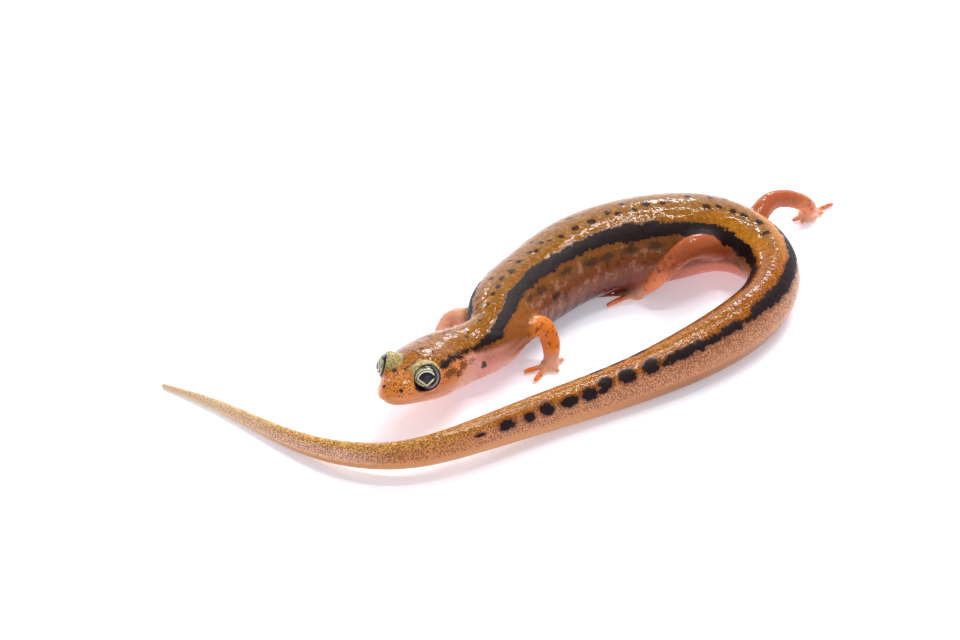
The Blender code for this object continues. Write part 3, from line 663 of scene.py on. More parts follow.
def eye_place(side, turn, lift):
    """Centre of an eye, a direction turned outwards and lifted, and the two directions across it."""
    centre = head_world([EYE_AHEAD, side * EYE_ASIDE, EYE_ABOVE])
    turn, lift = math.radians(turn), math.radians(lift)
    look = (math.cos(turn) * math.cos(lift) * head_forward
            + side * math.sin(turn) * math.cos(lift) * head_left + math.sin(lift) * head_up)
    across = unit(np.cross(head_up, look))
    return centre, look, across, np.cross(look, across)


def turned(name, place, profile, sides, label):
    """A lathe: each row of radius and height becomes a circle round the looking direction."""
    centre, look, across, other = place
    profile = np.array(profile)
    angle = 2.0 * np.pi * np.arange(sides) / sides
    spokes = np.cos(angle)[:, None] * across + np.sin(angle)[:, None] * other
    rings = centre + profile[1:-1, 1][:, None, None] * look + profile[1:-1, 0][:, None, None] * spokes[None]
    return closed_grid(name, rings, centre + look * profile[0, 1], centre + look * profile[-1, 1], label)


def arc(radius, start, end, count):
    """Rows of radius and height on a circle, from one polar angle to another."""
    polar = np.linspace(start, end, count)
    return [(radius * math.sin(a), radius * math.cos(a)) for a in polar]


lids, sockets = [], []
for word, side, turn, lift, _, _ in EYES:
    place = eye_place(side, turn, lift)
    lids.append(turned("lid_" + word, place, arc(LID_OUTER, np.pi, 0.0, 41), 72, LID))
    edge = math.asin(LID_OPENING / LID_INNER)
    wall = arc(LID_INNER, np.pi, edge, 30)
    rim = wall[-1][1]
    flare = [(LID_OPENING + 0.10, rim + 0.10), (LID_OPENING + 0.75, rim + 0.8), (0.0, rim + 1.1)]
    sockets.append(turned("socket_" + word, place, wall + flare, 72, CUT))
    nostril = head_world([NOSTRIL_AHEAD, side * NOSTRIL_ASIDE, NOSTRIL_ABOVE])
    sockets.append(turned("nostril_" + word, (nostril, head_forward, head_left, head_up),
                          arc(NOSTRIL_RADIUS, np.pi, 0.0, 13), 20, CUT))
print("cutters:", [cutter.name for cutter in sockets])

# %% [markdown]
# ## One skin
# On the animal, skin runs from the body over the limbs and the lids without a seam. Sculpting
# over the joins would be slow, so a union joins the meshes and a difference opens sockets and
# nostrils. The labels still tell which face came from which piece. Where two labels meet there
# is a sharp corner, and only the skin near it is relaxed, which leaves a soft fold.

# %% Joining helpers


def combine(target, others, operation):
    """Apply one Boolean with all the meshes of a collection, then drop them."""
    group = bpy.data.collections.new(operation.lower())
    for thing in others:
        bpy.context.scene.collection.objects.unlink(thing)
        group.objects.link(thing)
    modifier = target.modifiers.new(operation.lower(), "BOOLEAN")
    modifier.operation = operation
    modifier.operand_type = "COLLECTION"
    modifier.collection = group
    modifier.solver = "MANIFOLD"
    evaluated(target)
    for thing in list(group.objects):
        bpy.data.objects.remove(thing, do_unlink=True)
    bpy.data.collections.remove(group)


def vertex_labels(mesh):
    """For each vertex the lowest and the highest label of its faces."""
    labels = np.empty(len(mesh.polygons), dtype=np.int32)
    mesh.polygons.foreach_get("material_index", labels)
    sizes = np.empty(len(mesh.polygons), dtype=np.int32)
    mesh.polygons.foreach_get("loop_total", sizes)
    corners = np.empty(len(mesh.loops), dtype=np.int32)
    mesh.loops.foreach_get("vertex_index", corners)
    spread = np.repeat(labels, sizes)
    low = np.full(len(mesh.vertices), 99)
    high = np.full(len(mesh.vertices), -1)
    np.minimum.at(low, corners, spread)
    np.maximum.at(high, corners, spread)
    return low, high


def near(points, samples, reach):
    """Distance from each point to the nearest sample, worked out only close to the samples."""
    result = np.full(len(points), np.inf)
    low, high = samples.min(axis=0) - reach, samples.max(axis=0) + reach
    inside = np.flatnonzero(np.all((points > low) & (points < high), axis=1))
    for block in np.array_split(inside, max(1, len(inside) // 2000)):
        gap = points[block][:, None, :] - samples[None]
        result[block] = np.sqrt((gap ** 2).sum(axis=-1).min(axis=1))
    return result


combine(skin, limbs + lids, "UNION")
combine(skin, sockets, "DIFFERENCE")
print("joined skin:", len(skin.data.vertices), "vertices")

# %% [markdown]
# ## Soft folds
# A Boolean also leaves slivers, faces with next to no area, that would shade badly. Merging
# vertices that nearly touch takes them out. Then each kind of join gets its own width and its
# own number of rounds of relaxing: wide at the limbs, narrow at lids and nostrils.

# %% Cleaning and relaxing
MERGE_DISTANCE, SLIVER = 0.006, 0.001
FOLD_REACH = {LID: 0.34, ARM_L: 0.75, ARM_R: 0.75, LEG_L: 0.9, LEG_R: 0.9, CUT: 0.10}
FOLD_ROUNDS = {LID: 18, ARM_L: 60, ARM_R: 60, LEG_L: 70, LEG_R: 70, CUT: 3}
shape = bmesh.new()
shape.from_mesh(skin.data)
bmesh.ops.remove_doubles(shape, verts=shape.verts, dist=MERGE_DISTANCE)
bmesh.ops.dissolve_degenerate(shape, edges=shape.edges, dist=SLIVER)
bmesh.ops.triangulate(shape, faces=[face for face in shape.faces if len(face.verts) > 4])
shape.to_mesh(skin.data)
shape.free()
low, high = vertex_labels(skin.data)
for label, reach in FOLD_REACH.items():
    points = places(skin.data)
    seam = points[(low != high) & ((low == label) | (high == label))]
    if len(seam) == 0:
        continue
    weight = 1.0 - rise(near(points, seam, reach), 0.25 * reach, reach)
    relax(skin.data, weight, FOLD_ROUNDS[label])
print("skin:", len(skin.data.vertices), "vertices,",
      sum(len(face.vertices) - 2 for face in skin.data.polygons), "triangles")

# %% [markdown]
# ## Knowing where on the animal a point is
# Markings follow the body, not the room. So every vertex is told how far it lies from the
# snout, and how far round from the middle of the back. The material reads these numbers
# as attributes. They come from the nearest sample of one spine through head and body.

# %% Attributes
SPINE_STEP = 0.15
head_samples = np.arange(HEAD_LENGTH, JOIN_AHEAD, -SPINE_STEP)
head_centres = head_world(np.stack((head_samples, head_lean(head_samples), 0.0 * head_samples + 0.3), axis=1))
body_samples = np.arange(JOIN_LENGTH, route_length[-1], SPINE_STEP)
body_centres, body_left, body_up, _ = route_rows(body_samples)
bridge = np.linspace(0.0, 1.0, 14)[1:-1, None]
neck_centres = hermite(bridge, head_centres[-1], body_centres[0], -head_forward * span,
                       unit(body_centres[1] - body_centres[0]) * span)
neck_left = unit((1 - bridge) * head_left + bridge * body_left[0])
neck_up = unit((1 - bridge) * head_up + bridge * body_up[0])
ones = np.ones((len(head_samples), 1))
spine = np.concatenate((head_centres, neck_centres, body_centres))
spine_left = np.concatenate((ones * head_left, neck_left, body_left))
spine_up = np.concatenate((ones * head_up, neck_up, body_up))
spine_length = path_length(spine)
body_start = float(spine_length[len(head_samples) + len(bridge)])

points = places(skin.data)
nearest = np.empty(len(points), dtype=int)
for block in np.array_split(np.arange(len(points)), 60):
    nearest[block] = ((points[block][:, None, :] - spine[None]) ** 2).sum(axis=-1).argmin(axis=1)
tangent = unit(np.gradient(spine, axis=0))
along = spine_length[nearest] + ((points - spine[nearest]) * tangent[nearest]).sum(axis=1)
along = np.clip(along, 0.0, spine_length[-1])
foot_point = between(along, spine_length, spine)
left_axis = between(along, spine_length, spine_left)
up_axis = between(along, spine_length, spine_up)
offset = points - foot_point
to_left = (offset * left_axis).sum(axis=1)
to_top = (offset * up_axis).sum(axis=1)
radius = np.hypot(to_left, to_top)
print("spine from snout to tail tip:", round(float(spine_length[-1]), 1), "mm")

# %% [markdown]
# ## The stripes
# On each side a dark stripe runs from the eye to the tail, where it breaks into blotches.
# A short table gives the angles of its two edges, measured from the middle of the back.
# What is stored is how deep inside the stripe a vertex lies, in millimetres. The
# material turns that depth into denser and denser pigment cells, so the edge is jagged.

# %% Stripe and flank attributes
# Each row: distance from the snout, upper edge and lower edge in degrees from the middle of the back
LEFT_STRIPE = np.array((
    (4.4, 60, 61), (5.0, 54, 68), (6.0, 49, 66), (7.0, 53, 66), (9.0, 54, 67), (10.5, 50, 62), (12.0, 36, 60),
    (12.8, 20, 50), (13.8, 9, 32), (16.0, 10, 32), (18.0, 17, 36), (20.0, 15, 38), (22.0, 21, 41), (26.0, 29, 45),
    (29.0, 31, 47), (31.0, 31, 53), (34.0, 37, 54), (36.0, 41, 56), (38.0, 44, 58), (40.0, 49, 65), (42.0, 50, 71),
    (44.0, 48, 69), (46.0, 43, 60), (48.0, 38, 54), (51.0, 28, 50), (62.0, 24, 49), (63.4, 30, 44), (64.0, 38, 36),
))
RIGHT_STRIPE = np.array((
    (4.4, 60, 61), (5.0, 54, 68), (9.0, 55, 67), (11.0, 56, 70), (13.0, 60, 78), (16.0, 60, 78), (20.0, 56, 74),
    (26.0, 52, 68), (34.0, 46, 62), (40.0, 40, 64), (44.0, 37, 62), (45.5, 34, 56), (47.0, 29, 50), (50.0, 23, 48),
    (53.8, 20, 50), (54.7, 32, 47), (55.4, 28, 49), (57.0, 24, 50), (58.3, 29, 50), (60.2, 20, 50), (61.5, 26, 49),
    (62.7, 19, 49), (63.4, 34, 46), (63.8, 38, 36),
))
# Each row: distance from the snout, degrees from the middle of the back, half length in mm, half height in degrees
BLOTCHES = (
    (64.4, 33, 0.80, 19), (66.5, 31, 0.78, 19), (68.5, 30, 0.70, 17), (68.9, 46, 0.55, 9), (70.1, 42, 0.80, 19),
    (72.1, 45, 0.88, 15), (74.1, 43, 0.68, 21), (75.8, 51, 0.60, 17), (77.8, 50, 0.76, 20), (80.2, 52, 0.45, 8),
)


def stripe_edges(table, values):
    """Upper and lower edge in radians at distances from the snout."""
    upper = np.interp(values, table[:, 0], table[:, 1], left=62.0, right=38.0)
    lower = np.interp(values, table[:, 0], table[:, 2], left=58.0, right=32.0)
    return np.radians(upper), np.radians(lower)


around = np.arctan2(np.abs(to_left), to_top)
edges_left, edges_right = stripe_edges(LEFT_STRIPE, along), stripe_edges(RIGHT_STRIPE, along)
upper_edge = np.where(to_left > 0.0, edges_left[0], edges_right[0])
lower_edge = np.where(to_left > 0.0, edges_left[1], edges_right[1])
left_share = rise(np.arctan2(to_left, to_top), -0.5, 0.5)
middle = 0.5 * (left_share * sum(edges_left) + (1.0 - left_share) * sum(edges_right))
below_stripe = radius * (around - middle)
stripe_depth = radius * np.minimum(around - upper_edge, lower_edge - around)
stripe_depth -= 3.0 * np.clip(np.maximum(4.3 - along, along - 63.9), 0.0, 1.0)

print("deepest inside a stripe:", round(float(stripe_depth.max()), 2), "mm")

# %% [markdown]
# ## Masks for limbs, lids and sockets
# Limbs, lids and sockets have colours of their own. The labels of the faces tell them apart,
# and a blur over the surface softens the change, as the living skin has no borders either.

# %% Masks
vertex_low, vertex_high = vertex_labels(skin.data)
edges = mesh_edges(skin.data)
degree = np.maximum(np.bincount(edges.ravel(), minlength=len(points)), 1)


def softened(mask, rounds):
    """A mask of ones and zeros blurred over the surface."""
    values = mask.astype(float)[:, None]
    for _ in range(rounds):
        values = 0.5 * values + 0.5 * neighbour_mean(values, edges, degree)
    return values[:, 0]


limb_mask = softened((vertex_low >= ARM_L) & (vertex_low <= LEG_R), 14)
row_girth = between(along - body_start + JOIN_LENGTH, route_length, route_table[:, 3:]).T
row_tall = np.where(to_top > 0.0, row_girth[1], row_girth[2])
girth_here = 1.0 / np.hypot(np.sin(around) / row_girth[0], np.cos(around) / row_tall)
standing_out = radius - girth_here
stripe_depth -= 3.0 * limb_mask * rise(standing_out, 0.7, 1.5)
limb_mask *= rise(standing_out, -0.15, 0.65)
socket_mask = (vertex_high == CUT).astype(float)
lid_mask = softened(vertex_low == LID, 4)

hand_reach = np.full(len(points), 9.0)
for _, joints, _, _ in LIMBS:
    palm = np.array(joints[-1][1:4])
    hand_reach = np.minimum(hand_reach, np.linalg.norm(points - palm, axis=1))


def store(mesh, name, values):
    """Keep one number for each vertex under a name."""
    attribute = mesh.attributes.new(name, "FLOAT", "POINT")
    attribute.data.foreach_set("value", np.asarray(values, dtype=np.float32))


head_spot = (points - HEAD_ORIGIN) @ HEAD_AXES.T
signed_turn = np.degrees(np.arctan2(to_left, to_top))
for name, values in (("along", along), ("signed_turn", signed_turn), ("below_stripe", below_stripe),
                     ("stripe_depth", stripe_depth), ("limb", limb_mask), ("socket", socket_mask),
                     ("lid", lid_mask), ("hand_reach", hand_reach), ("head_up", head_spot[:, 2]),
                     ("head_ahead", head_spot[:, 0])):
    store(skin.data, name, values)
print("stripe vertices:", int((stripe_depth > 0.0).sum()), "of", len(points))

# %% [markdown]
# ## Eyes
# An eyeball is a plain ball. Its front carries the iris, whose pattern needs places across
# the looking direction, so these are stored as attributes too.

# %% Eyeballs


def make_eye(word, side, gaze_turn, gaze_lift):
    """A ball round the gaze, with the places across the gaze stored for the iris pattern."""
    centre, gaze, across, other = eye_place(side, gaze_turn, gaze_lift)
    eye = turned("eyeball_" + word, (centre, gaze, across, other), arc(EYE_RADIUS, np.pi, 0.0, 65), 96, BODY)
    local = (places(eye.data) - centre) / EYE_RADIUS
    store(eye.data, "iris_across", local @ across * side)
    store(eye.data, "iris_up", local @ other)
    store(eye.data, "iris_out", local @ gaze)
    return eye


eyes = [make_eye(word, side, turn, lift) for word, side, _, _, turn, lift in EYES]
for thing in [skin] + eyes:
    final = (places(thing.data) - TABLE_MIDDLE) * MM
    thing.data.vertices.foreach_set("co", final.ravel())
    thing.data.polygons.foreach_set("material_index", np.zeros(len(thing.data.polygons), dtype=np.int32))
    thing.data.polygons.foreach_set("use_smooth", np.ones(len(thing.data.polygons), dtype=bool))
    thing.data.materials.clear()
    thing.data.update()
print("eye vertices:", [len(eye.data.vertices) for eye in eyes])

# %% [markdown]
# ## Writing materials as sums
# Shader trees are hard to read as boxes. The small class below wraps a socket, so that a
# sum or product of two values makes the Math node for it. A colour uses Mix nodes instead.

# %% Shader helpers


class Value:
    """A number over the surface: adding, multiplying or comparing it makes a Math node."""

    def __init__(self, maker, socket):
        self.maker = maker
        self.socket = socket

    def __add__(self, other):
        return self.maker.maths("ADD", self, other)

    def __radd__(self, other):
        return self.maker.maths("ADD", other, self)

    def __sub__(self, other):
        return self.maker.maths("SUBTRACT", self, other)

    def __rsub__(self, other):
        return self.maker.maths("SUBTRACT", other, self)

    def __mul__(self, other):
        return self.maker.maths("MULTIPLY", self, other)

    def __rmul__(self, other):
        return self.maker.maths("MULTIPLY", other, self)

    def __truediv__(self, other):
        return self.maker.maths("DIVIDE", self, other)

    def __abs__(self):
        return self.maker.maths("ABSOLUTE", self)

    def __pow__(self, other):
        return self.maker.maths("POWER", self, other)

    def high(self, other):
        """The larger of two values."""
        return self.maker.maths("MAXIMUM", self, other)

    def low(self, other):
        """The smaller of two values."""
        return self.maker.maths("MINIMUM", self, other)

    def step(self, start, end):
        """Smoothly from zero at the start to one at the end; a start above the end turns it round."""
        return self.maker.step(self, start, end)


class Maker:
    """Builds one material node by node."""

    def __init__(self, name):
        self.material = bpy.data.materials.new(name)
        self.material.use_nodes = True
        self.tree = self.material.node_tree
        self.shader = self.tree.nodes["Principled BSDF"]
        self.place = self.node("ShaderNodeTexCoord").outputs["Object"]

    def node(self, kind, settings=None, sockets=None):
        """One node with its settings and its input sockets, by name or number."""
        made = self.tree.nodes.new(kind)
        for key, value in (settings or {}).items():
            setattr(made, key, value)
        for key, value in (sockets or {}).items():
            self.plug(made.inputs[key], value)
        return made

    def plug(self, socket, value):
        """Link a wrapped value or socket, or set a plain number or colour."""
        if isinstance(value, Value):
            value = value.socket
        if isinstance(value, bpy.types.NodeSocket):
            self.tree.links.new(value, socket)
        elif isinstance(value, tuple) and socket.type == "RGBA":
            socket.default_value = (*value, 1.0)
        else:
            socket.default_value = value

    def maths(self, operation, first, second=0.0, third=0.0):
        """One Math node."""
        made = self.node("ShaderNodeMath", {"operation": operation}, {0: first, 1: second, 2: third})
        return Value(self, made.outputs[0])

    def step(self, value, start, end):
        """A Map Range node with a smooth step."""
        low, high, bottom, top = (start, end, 0.0, 1.0) if start < end else (end, start, 1.0, 0.0)
        made = self.node("ShaderNodeMapRange", {"interpolation_type": "SMOOTHSTEP"},
                         {0: value, 1: low, 2: high, 3: bottom, 4: top})
        return Value(self, made.outputs[0])

    def attribute(self, name):
        """A number stored on the mesh."""
        made = self.node("ShaderNodeAttribute", {"attribute_name": name})
        return Value(self, made.outputs["Fac"])

    def noise(self, per_mm, detail=2.0, roughness=0.5, shift=0.0):
        """Noise in object space, from 0 to 1, with so many waves in a millimetre."""
        moved = self.node("ShaderNodeVectorMath", {"operation": "ADD"}, {0: self.place, 1: (shift, shift, shift)})
        made = self.node("ShaderNodeTexNoise", {}, {"Vector": moved.outputs[0], "Scale": per_mm / MM,
                                                    "Detail": detail, "Roughness": roughness})
        return Value(self, made.outputs["Fac"])

    def blend(self, share, first, second):
        """One colour where the share is 0, the other where it is 1."""
        made = self.node("ShaderNodeMix", {"data_type": "RGBA"}, {0: share, 6: first, 7: second})
        return made.outputs[2]

    def nearest(self, place, rows):
        """Distance to the nearest oval of a list: zero at its middle, one on its edge."""
        result = None
        for first, second, half_first, half_second in rows:
            moved = self.node("ShaderNodeVectorMath", {"operation": "MULTIPLY_ADD"},
                              {0: place, 1: (1.0 / half_first, 1.0 / half_second, 0.0),
                               2: (-first / half_first, -second / half_second, 0.0)})
            length = self.node("ShaderNodeVectorMath", {"operation": "LENGTH"}, {0: moved.outputs[0]})
            distance = Value(self, length.outputs["Value"])
            result = distance if result is None else result.low(distance)
        return result

    def finish(self, inputs):
        """Set or link the inputs of the shader and return the material."""
        for key, value in inputs.items():
            self.plug(self.shader.inputs[key], value)
        return self.material


# %% [markdown]
# ## Skin
# The colours lie over each other like glazes: a warm ground that changes from head to tail
# tip and from back to belly, blurred clouds in the flank, and on top the dark pigment.
# Pigment sits in single cells. A Voronoi texture gives the distance to the nearest cell,
# and one number, the reach of the cells, decides how much they cover: small on the throat,
# middling on the tail, and so large in the stripes that they run together.

# %% Readings of the skin
make = Maker("skin")
m_along = make.attribute("along")
m_below = make.attribute("below_stripe")
m_depth = make.attribute("stripe_depth")
m_side = make.attribute("signed_turn")
m_turn = abs(m_side)
m_limb = make.attribute("limb")
m_hand = make.attribute("hand_reach")
m_up = make.attribute("head_up")
m_ahead = make.attribute("head_ahead")
m_socket = make.attribute("socket")
m_lid = make.attribute("lid")

grain = make.noise(3.6, 2.0, 0.6)
cloud = make.noise(0.50, 2.0, 0.5, 0.7)
print("reading nodes:", len(make.tree.nodes))

# %% [markdown]
# ## Ground colours
# The colours come from looking at each part of the living animal: a golden back, an orange
# tail and snout, pink legs and throat. A few also carry painted light and shade: a brighter gold
# lit on the hip, a shaded near belly, and shaded red-brown at the hip and the leg roots.
# They are linear values, so they look darker as numbers than on the skin.

# %% Ground colours

BACK_TRUNK = (0.29, 0.125, 0.03)
GOLD_TRUNK = (0.31, 0.105, 0.002)
# painted light: the gold of the hip is brighter, as if lit more strongly there
GOLD_HIP_LIT = (0.560, 0.200, 0.004)
GOLD_ROOT = (0.37, 0.11, 0.004)
GOLD_TAIL = (0.54, 0.21, 0.025)
GOLD_HEAD = (0.37, 0.12, 0.003)
GOLD_END = (0.80, 0.42, 0.12)
TIP = (0.80, 0.56, 0.34)
SNOUT = (0.66, 0.210, 0.030)
CHEEK = (0.78, 0.245, 0.062)
LIP = (0.82, 0.37, 0.20)
THROAT = (0.76, 0.33, 0.26)
SHOULDER = (0.32, 0.095, 0.012)
FLANK_HIGH = (0.24, 0.080, 0.012)
FLANK_LOW = (0.25, 0.075, 0.03)
# painted shade: the near belly edge and underside are painted dark; the far side keeps the belly's own lighter
# colour
BELLY_IN_SHADE = (0.12, 0.024, 0.01)
BELLY_FAR = (0.44, 0.16, 0.06)
BELLY_HIP = (0.82, 0.28, 0.20)
SIDE_TAIL = (0.66, 0.270, 0.115)
SIDE_ORANGE = (0.68, 0.26, 0.08)
SIDE_END = (0.90, 0.50, 0.31)
UNDER_ROOT = (0.36, 0.135, 0.045)
UNDER_TAIL = (0.60, 0.27, 0.10)
# painted shade: red-brown where the legs meet the body
SHADED_LEG_ROOT = (0.34, 0.075, 0.022)
# painted shadow: red-brown on the flank under the thigh
HIP_SHADOW = (0.42, 0.095, 0.030)
ARM = (0.84, 0.23, 0.028)
THIGH = (0.56, 0.135, 0.045)
SHANK = (0.90, 0.27, 0.11)
PALM = (0.74, 0.39, 0.24)
print("palest ground colour:", SIDE_END)

# %% [markdown]
# ## Glazes from head to tail
# Each line lays one colour over the ground before it, as far as a share between zero and one.
# The share is a smooth step along the body or round it, so no colour has a hard edge.

# %% Skin ground
on_head = m_along.step(9.5, 7.0)
on_tail = m_along.step(43.0, 50.0)
on_end = m_along.step(78.0, 92.0)
on_tip = m_along.step(92.0, 106.0)

# painted light: the gold turns brighter over the hip, where light falls strongest
gold = make.blend(m_along.step(36.0, 41.0) * m_along.step(49.0, 45.0), GOLD_TRUNK, GOLD_HIP_LIT)
back = make.blend(m_below.step(-2.3, -1.2), BACK_TRUNK, gold)
back = make.blend(m_along.step(18.0, 14.0), back, GOLD_TRUNK)
back = make.blend(on_tail, back, make.blend(m_along.step(53.0, 66.0), GOLD_ROOT, GOLD_TAIL))
back = make.blend(on_end, back, GOLD_END)
back = make.blend(on_head, back, GOLD_HEAD)
back = make.blend(m_ahead.step(6.8, 8.2) * on_head, back, SNOUT)

wavy_below = m_below + (cloud - 0.5) * 1.6
flank = make.blend(wavy_below.step(0.9, 2.8), FLANK_HIGH, FLANK_LOW)
flank = make.blend(m_along.step(17.5, 14.5), flank, SHOULDER)
far_belly = m_side.step(0.0, -20.0) * m_side.step(-178.0, -150.0)
# painted shade: dark belly on the near side and below, the own lighter colour on the far side
belly = make.blend(far_belly * m_along.step(14.0, 24.0), BELLY_IN_SHADE, BELLY_FAR)
belly = make.blend(m_along.step(28.0, 39.0), belly, BELLY_HIP)
belly = make.blend(m_along.step(18.0, 14.0), belly, THROAT)
flank = make.blend(m_turn.step(94.0, 112.0), flank, belly)
throat_side = m_along.step(14.0, 12.0) * m_turn.step(62.0, 74.0)
flank = make.blend(throat_side, flank, THROAT)
under = make.blend(m_along.step(60.0, 72.0), UNDER_ROOT, UNDER_TAIL)
side = make.blend(m_along.step(78.0, 82.0), SIDE_TAIL, SIDE_ORANGE)
side = make.blend(m_along.step(86.0, 91.0), side, SIDE_END)
tail_side = make.blend(m_turn.step(92.0, 112.0), side, under)
flank = make.blend(on_tail, flank, tail_side)
cheek = make.blend(m_up.step(0.7, -0.1), CHEEK, LIP)
flank = make.blend(on_head, flank, cheek)

ground = make.blend(m_below.step(-0.2, 0.2), back, flank)
ground = make.blend(on_head * m_up.step(0.25, -0.25), ground, LIP)
ground = make.blend(on_tip, ground, TIP)

leg = make.blend(m_hand.step(3.2, 4.6), SHANK, THIGH)
limb_ground = make.blend(m_along.step(22.0, 25.0), ARM, leg)
# painted shade: limbs on the right side are darkened towards red-brown
limb_ground = make.blend(m_side.step(0.0, -30.0) * 0.4, limb_ground, (0.36, 0.11, 0.03))
limb_mottle = make.noise(2.1, 2.0, 0.6, 9.1)
limb_ground = make.blend(limb_mottle.step(0.55, 0.66) * 0.65, limb_ground, (0.16, 0.045, 0.020))
limb_ground = make.blend(limb_mottle.step(0.44, 0.34) * 0.35, limb_ground, (0.80, 0.36, 0.14))
# painted shade: the roots of the legs are darkened to red-brown where they meet the body
limb_ground = make.blend(m_hand.step(4.8, 6.8) * m_along.step(25.0, 28.0) * 0.8, limb_ground, SHADED_LEG_ROOT)
limb_ground = make.blend(m_hand.step(1.7, 0.7), limb_ground, PALM)
# painted sheen: the low right side of the right arm is paled to pink-white
limb_ground = make.blend(m_side.step(-40.0, -90.0) * m_along.step(26.0, 22.0) * 0.6, limb_ground, (0.86, 0.50, 0.36))
ground = make.blend(m_limb, ground, limb_ground)
print("ground nodes:", len(make.tree.nodes))

# %% [markdown]
# ## Dots, dashes and blotches
# The larger marks are ovals in the body's own coordinates: so many millimetres from the
# snout, so many degrees round from the middle of the back. Only the nearest oval matters,
# so a row of minimum nodes finds it. A little noise in the coordinates frays the ovals.

# %% Marks
# Each row: distance from the snout, signed degrees from the middle of the back, half length in mm, half width in degrees
BACK_DOTS = (
    (12.5, -15, 0.16, 7), (13.1, -22, 0.14, 6), (14.7, -24, 0.16, 8), (14.5, -50, 0.16, 9), (15.9, -49, 0.16, 7),
    (14.6, -70, 0.16, 9), (15.9, -17, 0.22, 5), (16.7, -12, 0.26, 5), (17.7, -12, 0.28, 5), (18.7, -5, 0.32, 6),
    (20.1, -8, 0.30, 5), (21.6, -9, 0.28, 5), (22.1, -2, 0.30, 6), (23.2, -9, 0.28, 5), (23.7, -2, 0.25, 4),
    (24.8, 5, 0.30, 5), (26.3, 6, 0.40, 6), (27.9, 8, 0.42, 6), (29.7, 2, 0.34, 5), (30.4, 10, 0.32, 5),
    (31.8, 11, 0.30, 4), (33.0, 2, 0.42, 6), (34.3, 5, 0.30, 4), (35.1, -1, 0.28, 4), (36.5, -6, 0.30, 5),
    (37.7, 15, 0.38, 6), (38.8, 11, 0.36, 5), (40.1, 10, 0.36, 6), (41.1, 7, 0.40, 6), (42.5, -3, 0.42, 8),
    (43.9, 2, 0.26, 11), (31.2, -7, 0.26, 4), (38.2, -9, 0.26, 5), (39.3, -17, 0.26, 5), (17.7, -30, 0.24, 5),
    (20.0, -24, 0.22, 4), (23.0, -26, 0.24, 4), (27.0, -20, 0.24, 4),
)
HEAD_DOTS = (
    (7.5, -17, 0.22, 8), (9.0, -4, 0.60, 4), (5.3, -46, 0.30, 7), (10.7, 12, 0.34, 4), (10.3, 28, 0.30, 4),
    (8.9, 17, 0.26, 5), (7.3, 16, 0.24, 5), (5.2, 3, 0.20, 7), (5.3, 24, 0.26, 5), (3.6, -22, 0.26, 6),
    (2.2, -24, 0.16, 8), (2.6, 5, 0.28, 5), (3.2, 17, 0.28, 6), (6.3, 8, 0.14, 4),
    (6.2, -20, 0.14, 5), (4.6, -8, 0.14, 5), (11.4, 99, 0.24, 11),
)
FLANK_CLOUDS = (
    (18.8, 52, 0.9, 6), (16.8, 47, 0.6, 5), (25.6, 60, 1.0, 5), (27.6, 63, 1.0, 5), (30.4, 63, 0.9, 5),
    (22.6, 52, 0.7, 5), (33.0, 64, 0.7, 5), (36.0, 66, 0.8, 6), (20.4, 72, 0.6, 5),
)
CHEEK_CLOUDS = ((5.3, 76, 0.8, 7), (7.4, 77, 1.0, 7), (6.2, 84, 0.6, 6), (8.8, 80, 0.5, 5))

frayed = make.node("ShaderNodeCombineXYZ", {}, {"X": m_along + (grain - 0.5) * 0.45,
                                                "Y": m_side + (make.noise(2.6, 1.0, 0.5, 2.2) - 0.5) * 9.0})
mirrored = make.node("ShaderNodeCombineXYZ", {}, {"X": m_along, "Y": m_turn})
blotch = make.nearest(mirrored.outputs[0], BLOTCHES)
dots = make.nearest(frayed.outputs[0], BACK_DOTS + HEAD_DOTS)
clouds = make.nearest(frayed.outputs[0], FLANK_CLOUDS)
cheek_clouds = make.nearest(mirrored.outputs[0], CHEEK_CLOUDS)

not_limb = 1.0 - m_limb
fine_mottle = make.noise(3.2, 2.0, 0.65, 6.4)
# painted shadow: an oval of red-brown low on the flank at the hip, under the thigh, on both sides
hip = make.nearest(mirrored.outputs[0], ((39.0, 78, 5.0, 24),))
ground = make.blend(hip.step(1.1, 0.5) * m_below.step(0.0, 0.6) * 0.85, ground, HIP_SHADOW)
on_flank = m_below.step(0.5, 1.3) * m_turn.step(104.0, 88.0) * m_along.step(13.5, 16.5) * m_along.step(46.0, 42.0)
on_flank = on_flank * not_limb
mottle = make.noise(1.15, 2.5, 0.6, 8.2)
ground = make.blend(on_flank * mottle.step(0.56, 0.66) * 0.6, ground, (0.06, 0.030, 0.008))
ground = make.blend(on_flank * mottle.step(0.45, 0.36) * 0.45, ground, (0.50, 0.27, 0.18))
ground = make.blend(clouds.step(1.5, 0.5) * not_limb * 0.75, ground, (0.040, 0.022, 0.010))
on_back = m_below.step(0.0, -0.3) * not_limb
ground = make.blend(on_back * fine_mottle.step(0.54, 0.64) * 0.38, ground, (0.10, 0.045, 0.012))
ground = make.blend(on_back * (1.0 - on_tail) * fine_mottle.step(0.45, 0.36) * 0.25, ground, (0.62, 0.42, 0.22))

print("marks:", len(BACK_DOTS), "dots on the back,", len(BLOTCHES), "blotches")

# %% [markdown]
# ## Pigment cells
# The dark pigment sits in separate cells. A Voronoi texture gives the distance to the nearest
# one, and the reach says how far each spreads: small on the throat, joined in the stripes.

# %% Pigment cells
cell = make.node("ShaderNodeTexVoronoi", {}, {"Vector": make.place, "Scale": 7.2 / MM, "Randomness": 0.75})
cell_distance = Value(make, cell.outputs["Distance"]) + (grain - 0.5) * 0.16
ragged = make.noise(1.1, 3.0, 0.65, 5.5)

